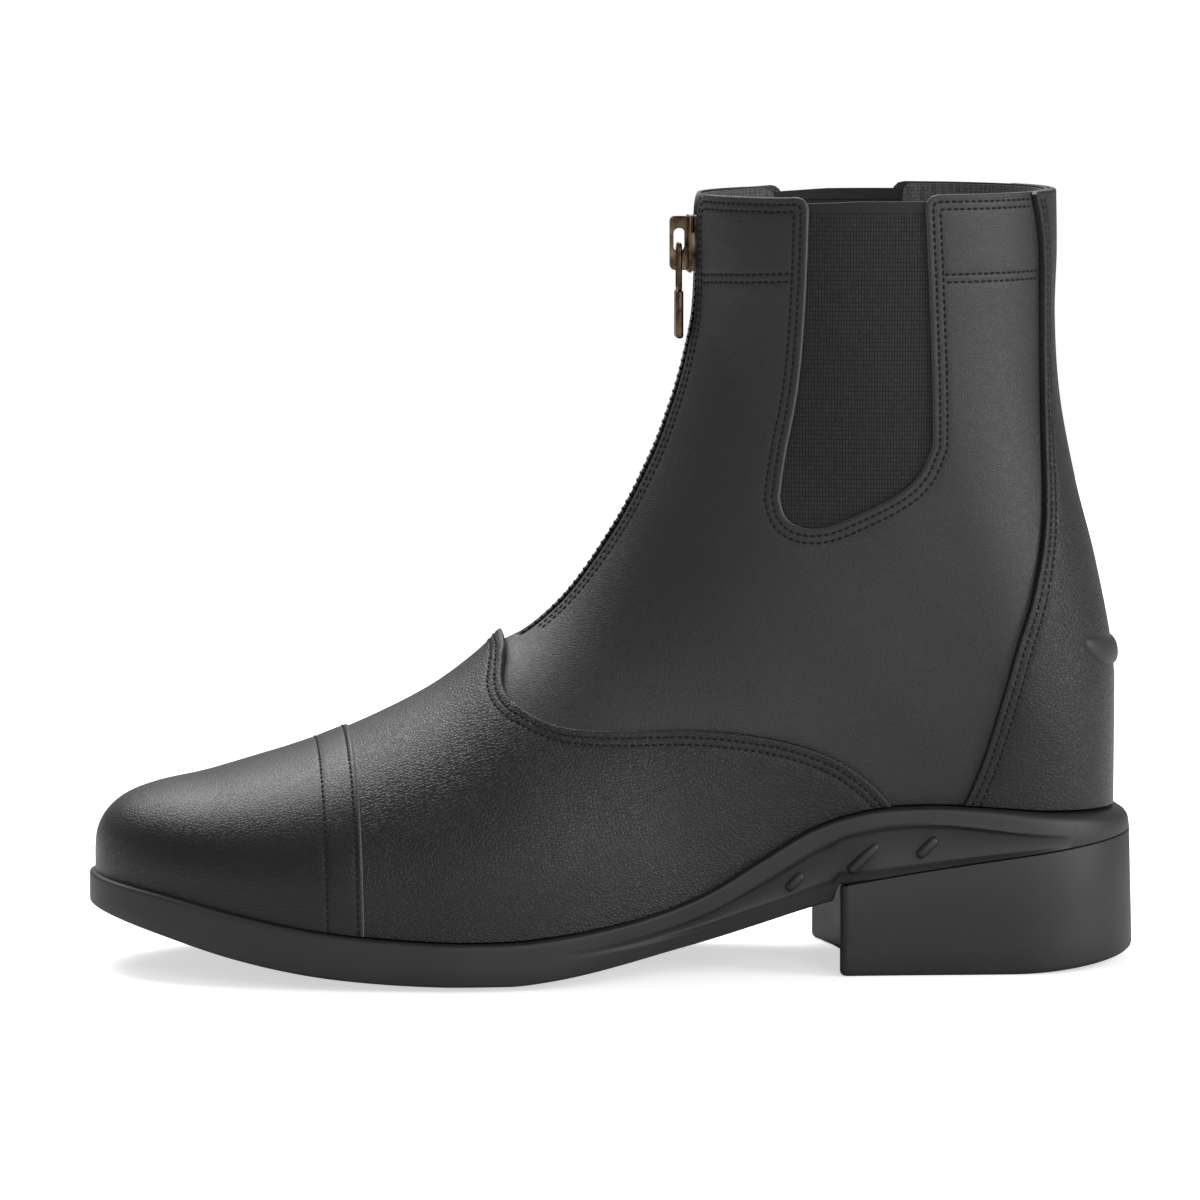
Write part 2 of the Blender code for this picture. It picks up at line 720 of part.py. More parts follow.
def slot_half_width(height):
    """Half width of the slot, which flares in a round corner at the collar."""
    drop = min(max((height - (BOOT_HEIGHT - ZIP_CORNER)) / ZIP_CORNER, 0), 1)
    return ZIP_SLOT / 2 + ZIP_CORNER * (1 - math.sqrt(1 - drop * drop))


def zip_cutter(finish):
    """Guide solid that opens the upper down the front."""
    mesh_data = bmesh.new()
    shin_bar(mesh_data, zip_foot(), BOOT_HEIGHT + WALL, 34, slot_half_width, -4 * WALL, 3 * WALL)
    return add_object("zip_guide", mesh_data, finish, smooth=False)


def build_zip(tape_finish, chain_finish):
    """Tape and closed chain of the front zip."""
    foot = zip_foot() + GAP
    mesh_data = bmesh.new()
    half = ZIP_SLOT / 2 - GAP
    shin_bar(mesh_data, foot, BOOT_HEIGHT - GORE_DROP, 26, half, -TAPE_RECESS - TAPE_THICKNESS, -TAPE_RECESS)
    add_object("zip_tape", mesh_data, tape_finish)
    mesh_data = bmesh.new()
    top = BOOT_HEIGHT - SLIDER_DROP - SLIDER_HEIGHT - GAP
    shin_bar(mesh_data, foot, top, 26, CHAIN_WIDTH / 2, -TAPE_RECESS + GAP, CHAIN_PROUD)
    add_object("zip_chain", mesh_data, chain_finish)


def extrude_outline(mesh_data, points, half_width, y_middle=0.0):
    """Plate with an outline in the x-z plane and a width across."""
    tube(mesh_data, [[(x, y_middle + y, z) for x, z in points] for y in (-half_width, half_width)])


def slider_frame():
    """Front face of the tape, top and bottom of the slider."""
    top = BOOT_HEIGHT - SLIDER_DROP
    point, out, _ = shin_frame(top - SLIDER_HEIGHT / 2)
    seat = point.x - (GAP - TAPE_RECESS)
    return seat, top, point.y


def pivot():
    """Place of the pull's crossbar, far enough out for the tab to hang clear of the chain."""
    _, top, y = slider_frame()
    height = top - SLIDER_HEIGHT * 0.52
    foot, _, _ = shin_frame(height - BAIL_DROP - TAB_LENGTH)
    return Vector((foot.x - CHAIN_PROUD - PULL_CLEARANCE - TAB_THICKNESS / 2, y, height))


def round_box(x_low, x_high, z_low, z_high, radius, steps=4):
    """Outline of a box with round corners, as x-z points."""
    points = []
    for x, z, start in ((x_high, z_high, 0), (x_low, z_high, 90), (x_low, z_low, 180), (x_high, z_low, 270)):
        cx = x - radius if x == x_high else x + radius
        cz = z - radius if z == z_high else z + radius
        for i in range(steps + 1):
            angle = math.radians(start + 90 * i / steps)
            points.append((cx + radius * math.cos(angle), cz + radius * math.sin(angle)))
    return points


def build_slider(finish):
    """Slider body with an arched bridge that has a slot for the pull."""
    seat, top, y = slider_frame()
    centre = pivot()
    mesh_data = bmesh.new()
    body = round_box(seat - SLIDER_THICKNESS, seat, top - SLIDER_HEIGHT, top, 0.0006)
    extrude_outline(mesh_data, body, SLIDER_WIDTH / 2, y)
    slider = add_object("zip_slider", mesh_data, finish, smooth=False)
    front = centre.x - BRIDGE_SLOT / 2 - BRIDGE_WALL
    mesh_data = bmesh.new()
    bridge = round_box(front, seat - SLIDER_THICKNESS / 2, top - SLIDER_HEIGHT * 0.96, top - 0.0003, 0.0012)
    extrude_outline(mesh_data, bridge, BRIDGE_WIDTH / 2, y)
    bridge_guide = add_object("bridge_guide", mesh_data, finish, smooth=False)
    cut_with(slider, bridge_guide, "UNION")
    mesh_data = bmesh.new()
    half_slot = BRIDGE_SLOT / 2
    hole = round_box(centre.x - half_slot, centre.x + half_slot, centre.z - 0.0016,
                     centre.z + 0.0050, half_slot * 0.9)
    extrude_outline(mesh_data, hole, BRIDGE_WIDTH, y)
    hole_guide = add_object("bridge_hole_guide", mesh_data, finish, smooth=False)
    cut_with(slider, hole_guide)
    return slider


def build_pull(finish):
    """Bail and tab of the zip, hanging from the bridge, with its origin on the crossbar."""
    centre = pivot()
    rod = PIN_RADIUS
    half = BAIL_WIDTH / 2
    mesh_data = bmesh.new()

    def box(x_half, y_low, y_high, z_low, z_high):
        corners = [(-x_half, z_low), (x_half, z_low), (x_half, z_high), (-x_half, z_high)]
        tube(mesh_data, [[(x, y, z) for x, z in corners] for y in (y_low, y_high)])

    octagon = [(rod * math.cos(math.tau * (i + 0.5) / 8), rod * math.sin(math.tau * (i + 0.5) / 8)) for i in range(8)]
    tube(mesh_data, [[(x, y, z) for x, z in octagon] for y in (-half, half)])
    pull = add_object("zip_pull", mesh_data, finish)
    pull.location = centre
    parts = (
        ("leg_guide_a", rod * 0.9, -half - rod * 0.3, -half + rod * 1.5, -BAIL_DROP, rod * 0.9),
        ("leg_guide_b", rod * 0.9, half - rod * 1.5, half + rod * 0.3, -BAIL_DROP, rod * 0.9),
        ("tab_guide", TAB_THICKNESS / 2, -TAB_WIDTH / 2, TAB_WIDTH / 2,
         -BAIL_DROP - TAB_LENGTH, -BAIL_DROP + rod),
    )
    for name, *sizes in parts:
        mesh_data = bmesh.new()
        box(*sizes)
        guide = add_object(name, mesh_data, finish, smooth=False)
        guide.location = centre
        cut_with(pull, guide, "UNION")
    return pull


def row_at_ridge(x, low=0.0, high=13.0):
    """Row whose front point is at a place along the ridge."""
    for _ in range(40):
        middle = (low + high) / 2
        if ends_of(middle)[0][0] < x:
            low = middle
        else:
            high = middle
    return (low + high) / 2


def back_row(height):
    """Row whose back point is at a height."""
    low, high = float(HEEL_ROW), len(SECTIONS) - 1.0
    for _ in range(40):
        middle = (low + high) / 2
        if ends_of(middle)[1][1] < height:
            low = middle
        else:
            high = middle
    return (low + high) / 2


def side_prism(name, points, finish):
    """Guide solid with a side-view outline that reaches past both sides of the boot."""
    mesh_data = bmesh.new()
    tube(mesh_data, [[(x, y, z) for x, z in points] for y in (-SOLE_WIDTH, SOLE_WIDTH)])
    return add_object(name, mesh_data, finish, smooth=False)


def build_cap(finish):
    """Toe cap, lapped over the vamp, so its edge stands proud."""
    rows = base_rows(0.0, row_at_ridge(CAP_EDGE * SOLE_LENGTH))
    return add_object("toe_cap", shell_mesh(rows, LAP_GAP, LAP_GAP + CAP_LEATHER), finish)


def build_vamp(finish):
    """Vamp: over the ridge up to a peak at the zip's foot, with a wing down each side."""
    rows = base_rows(row_at_ridge(CAP_EDGE * SOLE_LENGTH + GAP), VAMP_LAST_ROW)
    vamp = add_object("vamp", shell_mesh(rows, LAP_GAP, LAP_GAP + VAMP_LEATHER), finish)
    edge = [(x * SOLE_LENGTH, z * BOOT_HEIGHT) for x, z in VAMP_EDGE]
    points = [(-SOLE_LENGTH, -WALL), (edge[-1][0], -WALL)] + list(reversed(edge)) + [(-SOLE_LENGTH, edge[0][1])]
    cut_with(vamp, side_prism("vamp_guide", points, finish), "INTERSECT")
    return vamp


def build_counter(finish):
    """Back piece, lapped over the quarters from the sole to the collar."""
    rows = base_rows(COUNTER_FIRST_ROW)
    counter = add_object("counter", shell_mesh(rows, LAP_GAP, LAP_GAP + COUNTER_LEATHER), finish)
    edge = [(x * SOLE_LENGTH, z * BOOT_HEIGHT) for z, x in COUNTER_EDGE]
    beyond = SOLE_LENGTH
    points = [(edge[0][0], -WALL), (beyond, -WALL), (beyond, beyond), (edge[-1][0], beyond)] + list(reversed(edge))
    cut_with(counter, side_prism("counter_guide", points, finish), "INTERSECT")
    return counter


def build_spur_rest(finish):
    """Tapered ledge that wraps round the back of the heel, low at its outer ends."""
    mesh_data = bmesh.new()
    rings = []
    count, corners = 15, 8
    for i in range(count):
        share = -1 + 2 * i / (count - 1)
        taper = math.sqrt(max(1 - abs(share) ** 2.4, 0.10))
        height = SPUR_HEIGHT - 0.004 * share * share
        row = back_row(height)
        reach = abs(share) * SPUR_WIDTH / 2
        around = 1.0
        for _ in range(60):
            if abs(last_point(row, around).y) >= reach:
                break
            around -= 0.005
        side = -1 if share < 0 else 1
        base = last_point(row, side * around)
        normal = last_normal(row, side * around)
        rise = (Vector((0, 0, 1)) - normal * normal.z).normalized()
        inner = GAP + LAP_GAP + COUNTER_LEATHER
        ring = []
        for j in range(corners):
            angle = math.pi * j / (corners - 1) - math.pi / 2
            out = inner + SPUR_DEPTH * taper * max(math.cos(angle), 0.0)
            ring.append(base + normal * out + rise * (SPUR_THICKNESS / 2 * taper * math.sin(angle)))
        rings.append(ring)
    tube(mesh_data, rings)
    return add_object("spur_rest", mesh_data, finish)


def side_profile(x):
    """Outer side of the sole at a place: pairs of inset from the outline and height."""
    top, low = sole_top(x), sole_underside(x)
    tall = top - low
    place = place_of(x)
    depth = 0.0
    arch, rib = 0.62, 0.50
    if WAIST_PANEL[0][0] < place < WAIST_PANEL[-1][0]:
        arch, rib = curve(WAIST_PANEL, place, 1), curve(WAIST_PANEL, place, 2)
        depth = max(curve(WAIST_PANEL, place, 3), 0.0) * SOLE_SIDE_STEP
    lean = waist_share(x) * WAIST_LEAN
    lip = SOLE_LIP
    points = [
        (2 * lip, 0.0, top),
        (0.3 * lip, 0.0, top - 0.35 * lip),
        (0.0, 0.0, top - lip),
        (0.0, arch + 0.05, None),
        (depth, arch - 0.05, None),
        (depth, rib + 0.05, None),
        (0.0, rib - 0.02, None),
        (0.6 * lip, 0.0, low + 0.4 * lip),
        (1.8 * lip, 0.0, low),
    ]
    result = []
    for inset, share, z in points:
        height = min(low + share * tall, top - lip) if z is None else z
        result.append((inset + lean * (top - height) / tall, height))
    return result


def waist_share(x):
    """How much the side leans in: 1 in the waist, 0 at the ball and the heel."""
    place = place_of(x)
    breast = place_of(heel_breast())
    rise = min(max((place - 0.42) / 0.14, 0), 1)
    fall = min(max((breast + 0.04 - place) / 0.06, 0), 1)
    return (rise * rise * (3 - 2 * rise)) * (fall * fall * (3 - 2 * fall))


def build_outsole(finish):
    """Moulded sole unit with its rim, sculpted waist and forefoot lugs."""
    toe, heel = -SOLE_LENGTH / 2, SOLE_LENGTH / 2
    breast = heel_breast()
    forward = end_spaced(toe, breast - 2 * GAP, 34, sharp_high=False)
    xs = forward + end_spaced(breast - GAP / 2, heel, 13, sharp_low=False)
    mesh_data = bmesh.new()
    rings = []
    for x in xs:
        half, swing = outline(x)
        profile = side_profile(x)
        ring = []
        for side in (-1, 1):
            line = [(x, swing + side * max(half - inset * min(half / SLIM_END, 1), 0), z) for inset, z in profile]
            ring += line if side < 0 else list(reversed(line))
        rings.append(ring)
    tube(mesh_data, rings)
    sole = add_object("outsole", mesh_data, finish)
    for index in range(LUG_COUNT):
        add_lug(sole, index, finish)
    for side in (-1, 1):
        for index in range(len(PILLS)):
            add_pill(sole, side, index, finish)
    return sole


def lug_edges(index):
    """Front and rear places of a forefoot lug."""
    front = -SOLE_LENGTH / 2 + LUG_INSET * 1.6 + index * LUG_PITCH
    return front, front + LUG_LENGTH


def add_lug(sole, index, finish):
    """One bar of the forefoot tread, fused to the sole."""
    front, rear = lug_edges(index)
    mesh_data = bmesh.new()
    steps = 5
    rings = []
    for i in range(steps):
        x = front + (rear - front) * i / (steps - 1)
        half, swing = outline(x)
        half -= LUG_INSET * min(half / 0.02, 1)
        low = sole_underside(x) - LUG_DEPTH
        high = sole_underside(x) + LUG_DEPTH / 2
        rings.append([(x, swing - half, low), (x, swing + half, low), (x, swing + half, high), (x, swing - half, high)])
    tube(mesh_data, rings)
    guide = add_object("lug_guide_%d" % index, mesh_data, finish, smooth=False)
    cut_with(sole, guide, "UNION")


def add_pill(sole, side, index, finish):
    """One slanted raised pill on the waist panel, fused to the sole."""
    place, share, length = PILLS[index]
    x = (place - 0.5) * SOLE_LENGTH
    low, high = sole_underside(x), sole_top(x)
    z = low + (high - low) * share
    half, swing = outline(x)
    inset = side_profile(x)[4][0]
    centre = Vector((x, swing + side * (half - inset - 0.0004), z))
    along = Vector((0.72, 0, 0.69)) * (length * SOLE_LENGTH / 2)
    thick = 0.0016
    across = Vector((-0.69, 0, 0.72)) * thick
    out = Vector((0, 1, 0)) * thick * 0.72
    mesh_data = bmesh.new()
    rings = []
    for step in (-1.0, -0.8, 0.8, 1.0):
        size = 1.0 if abs(step) < 0.9 else 0.45
        ring = []
        for k in range(6):
            angle = math.tau * (k + 0.5) / 6
            ring.append(centre + along * step + across * size * math.cos(angle) + out * size * math.sin(angle))
        rings.append(ring)
    tube(mesh_data, rings)
    guide = add_object("pill_guide_%s_%d" % ("a" if side < 0 else "b", index), mesh_data, finish, smooth=False)
    cut_with(sole, guide, "UNION")


def heel_ring(inset, seam_share, height, steps=15):
    """Outline of the heel block at a height, or on its slanted seam with a share of 1."""
    breast, back = heel_breast() + inset, SOLE_LENGTH / 2 - inset
    xs = end_spaced(breast, back, steps, sharp_low=False)
    ring = []
    for side in (-1, 1):
        line = []
        for x in xs:
            half, swing = outline(x)
            half = max(half - inset * min(half / SLIM_END, 1), 0)
            if x == xs[-1]:
                half = 0.0
            line.append((x, swing + side * half, seam_share * (heel_seam(x) - GAP) + height))
        ring += line if side < 0 else list(reversed(line))[1:]
    return ring


def build_heel(finish):
    """Heel block, flat on the floor, with a slanted top under the sole's seat."""
    mesh_data = bmesh.new()
    rings = [
        heel_ring(inset * HEEL_EDGE_RADIUS, seam_share, height * HEEL_EDGE_RADIUS)
        for inset, seam_share, height in HEEL_LEVELS
    ]
    tube(mesh_data, rings)
    return add_object("heel", mesh_data, finish)


def build_insole(finish):
    """Inner sole, flat across, inside the upper's wall."""
    inset = WALL + INSOLE_GAP
    toe = -SOLE_LENGTH / 2 + RIM_TOE + inset
    heel = SOLE_LENGTH / 2 - RIM_HEEL - inset
    mesh_data = bmesh.new()
    rings = []
    for x in end_spaced(toe, heel, 44):
        half, swing = upper_outline(x, inset)
        low = sole_top(x) + SOLE_GAP
        high = low + INSOLE_THICKNESS
        rings.append([(x, swing - half, low), (x, swing + half, low), (x, swing + half, high), (x, swing - half, high)])
    tube(mesh_data, rings)
    return add_object("insole", mesh_data, finish)


def main():
    """Build every piece of the boot."""
    for old in list(bpy.data.objects):
        bpy.data.objects.remove(old, do_unlink=True)
    leather = material("quarter_leather", (0.022, 0.022, 0.023), 0.45)
    grain = material("grained_leather", (0.026, 0.026, 0.027), 0.42)
    cap_leather = material("cap_leather", (0.028, 0.028, 0.029), 0.38)
    counter_leather = material("counter_leather", (0.026, 0.026, 0.027), 0.42)
    rubber = material("sole_rubber", (0.030, 0.030, 0.031), 0.5)
    heel_rubber = material("heel_rubber", (0.032, 0.032, 0.033), 0.5)
    elastic = material("gore_elastic", (0.010, 0.010, 0.010), 0.9)
    lining = material("insole_fabric", (0.05, 0.05, 0.05), 0.9)
    tape = material("zip_tape_fabric", (0.010, 0.010, 0.010), 0.9)
    chain = material("zip_chain_metal", (0.05, 0.05, 0.05), 0.4, 0.8)
    brass = material("antique_brass", (0.14, 0.09, 0.05), 0.35, 1.0)
    build_outsole(rubber)
    build_heel(heel_rubber)
    build_insole(lining)
    upper = build_upper(leather)
    for side in (-1, 1):
        cut_with(upper, gore_cutter(side, leather))
    cut_with(upper, zip_cutter(leather))
    build_gore("gore_outer", -1, elastic)
    build_gore("gore_inner", 1, elastic)
    build_cap(cap_leather)
    build_vamp(grain)
    build_counter(counter_leather)
    build_zip(tape, chain)
    build_slider(brass)
    build_pull(brass)
    build_spur_rest(heel_rubber)


main()
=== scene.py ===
"""Looks of the zip paddock boot: leather, elastic, zip, rubber sole, light and camera.

Metres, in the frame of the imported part: +Z up, toe towards -X, outer side towards -Y.
"""
import logging
import math
from dataclasses import dataclass, field
from enum import Enum
from typing import Callable, Sequence

import bmesh
import bpy
import numpy as np
from mathutils import Matrix, Vector


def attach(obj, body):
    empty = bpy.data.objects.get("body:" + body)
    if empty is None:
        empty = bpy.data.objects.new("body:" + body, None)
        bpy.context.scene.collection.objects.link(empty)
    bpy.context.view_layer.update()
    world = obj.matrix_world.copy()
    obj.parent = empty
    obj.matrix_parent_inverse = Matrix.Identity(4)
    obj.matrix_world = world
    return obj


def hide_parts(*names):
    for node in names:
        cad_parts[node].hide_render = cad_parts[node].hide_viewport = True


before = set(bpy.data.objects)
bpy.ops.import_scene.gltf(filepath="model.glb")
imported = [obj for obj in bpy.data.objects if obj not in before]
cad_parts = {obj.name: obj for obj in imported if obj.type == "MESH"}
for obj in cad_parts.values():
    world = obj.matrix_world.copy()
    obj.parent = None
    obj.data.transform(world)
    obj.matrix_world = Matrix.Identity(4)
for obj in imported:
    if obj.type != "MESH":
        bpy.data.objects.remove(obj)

log = logging.getLogger("paddock_boot")

Array = np.ndarray
MM = 0.001


class Body(Enum):
    """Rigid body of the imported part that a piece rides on."""

    BOOT = "boot"
    PULL = "pull"


def linear(hex_colour: str) -> tuple[float, float, float, float]:
    """Turn an sRGB hex colour into linear values with alpha.

    Args:
        hex_colour: Six hex digits after a hash sign.

    Returns:
        Red, green, blue and alpha.
    """
    channels = [int(hex_colour[i:i + 2], 16) / 255 for i in (1, 3, 5)]
    values = [c / 12.92 if c <= 0.04045 else ((c + 0.055) / 1.055) ** 2.4 for c in channels]
    return (values[0], values[1], values[2], 1.0)


def read_table(keys: Array, values: Array, at: Array) -> Array:
    """Read a table smoothly between its rows.

    Args:
        keys: Growing keys of the table.
        values: Values at the keys.
        at: Where to read it.

    Returns:
        The values there, held at the table's ends.
    """
    at = np.clip(at, keys[0], keys[-1])
    low = np.clip(np.searchsorted(keys[1:-1], at, side="right"), 0, len(keys) - 2)
    before = np.maximum(np.arange(len(keys)) - 1, 0)
    after = np.minimum(np.arange(len(keys)) + 1, len(keys) - 1)
    slope = (values[after] - values[before]) / (keys[after] - keys[before])
    span = keys[low + 1] - keys[low]
    t = (at - keys[low]) / span
    ends = values[low] * (1 + 2 * t) * (1 - t) ** 2 + values[low + 1] * t * t * (3 - 2 * t)
    return ends + span * (slope[low] * t * (1 - t) ** 2 - slope[low + 1] * t * t * (1 - t))


def rounded_line(points: Array, steps: int = 6) -> Array:
    """Draw a smooth line through a few points.

    Args:
        points: Points of the line, one a row.
        steps: Pieces between two points.

    Returns:
        Points of the smooth line.
    """
    keys = np.arange(len(points), dtype=float)
    at = np.linspace(0, len(points) - 1, (len(points) - 1) * steps + 1)
    return np.stack([read_table(keys, points[:, k], at) for k in range(points.shape[1])], axis=1)


def side_gap(line: Array, x: Array, z: Array) -> Array:
    """Measure how far points of the side view lie from a line.

    Args:
        line: Points of the line in the side view, in the order of travel.
        x: Places along the boot.
        z: Heights.

    Returns:
        Distances, positive on the right of travel.
    """
    start, step = line[:-1], np.diff(line, axis=0)
    length_squared = (step ** 2).sum(axis=1)
    result = np.empty(len(x))
    for low in range(0, len(x), 4000):
        part = slice(low, low + 4000)
        dx = x[part, None] - start[None, :, 0]
        dz = z[part, None] - start[None, :, 1]
        t = np.clip((dx * step[:, 0] + dz * step[:, 1]) / length_squared, 0, 1)
        away = np.hypot(dx - t * step[:, 0], dz - t * step[:, 1])
        nearest = away.argmin(axis=1)
        pick = (np.arange(len(nearest)), nearest)
        cross = step[nearest, 0] * dz[pick] - step[nearest, 1] * dx[pick]
        result[part] = np.where(cross < 0, 1, -1) * away[pick]
    return result


def round_meet(a: Array, b: Array, radius: float) -> Array:
    """Join two edge distances with a rounded corner.

    Args:
        a: Distances from one edge.
        b: Distances from the other.
        radius: Radius of the corner.

    Returns:
        Distances from the rounded outline.
    """
    corner = radius - np.hypot(np.maximum(radius - a, 0), np.maximum(radius - b, 0))
    return np.where((a < radius) & (b < radius), corner, np.minimum(a, b))


@dataclass(frozen=True)
class Sizes:
    """Driving sizes of the boot, the same as the part's."""

    sole_length: float = 0.276
    sole_width: float = 0.099
    boot_height: float = 0.204
    shaft_width: float = 0.072
    instep_rise: float = 0.0728
    heel_length: float = 0.0815
    lug_depth: float = 0.0012
    ball_edge: float = 0.0120
    toe_spring: float = 0.0130
    heel_seat: float = 0.0442
    waist_underside: float = 0.0200
    seam_at_breast: float = 0.0240
    seam_at_back: float = 0.0320
    seam_bow: float = 0.0031
    gap: float = 0.0003
    lap_gap: float = 0.0006
    sole_gap: float = 0.0005
    wall: float = 0.0020
    rim_side: float = 0.0044
    rim_toe: float = 0.0040
    rim_heel: float = 0.0070
    toe_round: float = 0.27
    heel_round: float = 0.125
    round_power: float = 2.15


@dataclass
class Sole:
    """Shape of the sole unit: its outline, edges and underside."""

    sizes: Sizes = field(default_factory=Sizes)
    # place from the toe, half width and swing as shares of the sole's width
    outline_rows: tuple = (
        (0.00, 0.445, 0.050), (0.10, 0.460, 0.045), (0.20, 0.483, 0.028), (0.28, 0.497, 0.010),
        (0.35, 0.500, -0.008), (0.43, 0.475, -0.020), (0.51, 0.420, -0.022), (0.59, 0.368, -0.012),
        (0.67, 0.343, -0.002), (0.75, 0.342, 0.000), (0.84, 0.350, 0.000), (0.92, 0.352, 0.000),
        (1.00, 0.350, 0.000),
    )
    # place, toe_top, heel_top, toe_under, waist_under
    profile_rows: tuple = (
        (0.000, 1.02, 0.000, 1.200, 0.000), (0.060, 0.84, 0.000, 0.860, 0.000),
        (0.130, 0.52, 0.000, 0.460, 0.000), (0.200, 0.25, 0.000, 0.190, 0.000),
        (0.270, 0.09, 0.000, 0.050, 0.000), (0.330, 0.02, 0.000, 0.000, 0.000),
        (0.390, 0.00, 0.010, 0.000, 0.000), (0.430, 0.00, 0.040, 0.000, 0.060),
        (0.480, 0.00, 0.100, 0.000, 0.170), (0.530, 0.00, 0.195, 0.000, 0.310),
        (0.580, 0.00, 0.350, 0.000, 0.470), (0.630, 0.00, 0.595, 0.000, 0.670),
        (0.680, 0.00, 0.835, 0.000, 0.890), (0.730, 0.00, 0.965, 0.000, 1.090),
        (0.780, 0.00, 1.000, 0.000, 1.200), (0.840, 0.00, 0.985, 0.000, 1.200),
        (0.900, 0.00, 0.940, 0.000, 1.200), (1.000, 0.00, 0.890, 0.000, 1.200),
    )

    def __post_init__(self) -> None:
        """Keep the tables as arrays."""
        self.outline_table = np.array(self.outline_rows)
        self.profile_table = np.array(self.profile_rows)

    def place(self, x: Array) -> Array:
        """Share of the sole's length from the toe."""
        return x / self.sizes.sole_length + 0.5

    def round_end(self, share: Array, reach: float | Array) -> Array:
        """Rounding of the outline near one end, from 0 to 1."""
        left = 1 - np.clip(share / reach, 0, 1)
        power = self.sizes.round_power
        return (1 - left ** power) ** (1 / power)

    def half_and_swing(self, x: Array, toe: float = 0, heel: float = 0, side: float = 0,
                       heel_round: bool = True) -> tuple[Array, Array]:
        """Half width and swing of the outline.

        Args:
            x: Places along the sole.
            toe: Inset at the toe.
            heel: Inset at the heel.
            side: Inset at the sides.
            heel_round: Whether the heel's end is rounded.

        Returns:
            Half widths and swings.
        """
        s = self.sizes
        share = (x - (toe - heel) / 2) / (s.sole_length - toe - heel) + 0.5
        ends = self.round_end(share, s.toe_round)
        if heel_round:
            ends = ends * self.round_end(1 - share, s.heel_round)
        table = self.outline_table
        half = (read_table(table[:, 0], table[:, 1], share) * s.sole_width - side) * ends
        return half, read_table(table[:, 0], table[:, 2], share) * s.sole_width

    def top(self, x: Array) -> Array:
        """Height of the sole's top edge."""
        s, t, place = self.sizes, self.profile_table, self.place(x)
        toe = read_table(t[:, 0], t[:, 1], place) * s.toe_spring
        return s.ball_edge + toe + read_table(t[:, 0], t[:, 2], place) * (s.heel_seat - s.ball_edge)

    @property
    def breast(self) -> float:
        """Place of the heel block's front."""
        return self.sizes.sole_length / 2 - self.sizes.heel_length

    def seam(self, x: Array) -> Array:
        """Height of the seam over the heel block."""
        s = self.sizes
        share = np.clip((x - self.breast) / s.heel_length, 0, 1)
        bow = s.seam_bow * (1 - (1 - share) ** 2.2)
        return s.seam_at_breast + share * (s.seam_at_back - s.seam_at_breast) + bow

    def underside(self, x: Array) -> Array:
        """Height of the underside, without the lugs."""
        s, t, place = self.sizes, self.profile_table, self.place(x)
        at_breast = read_table(t[:, 0], t[:, 4], np.array([self.place(self.breast)]))[0]
        share = np.maximum(read_table(t[:, 0], t[:, 4], place), 0) / at_breast
        toe = np.maximum(read_table(t[:, 0], t[:, 3], place), 0) * s.toe_spring
        low = s.lug_depth + toe + share * (s.waist_underside - s.lug_depth)
        return np.where(x > self.breast - s.gap, self.seam(x), low)


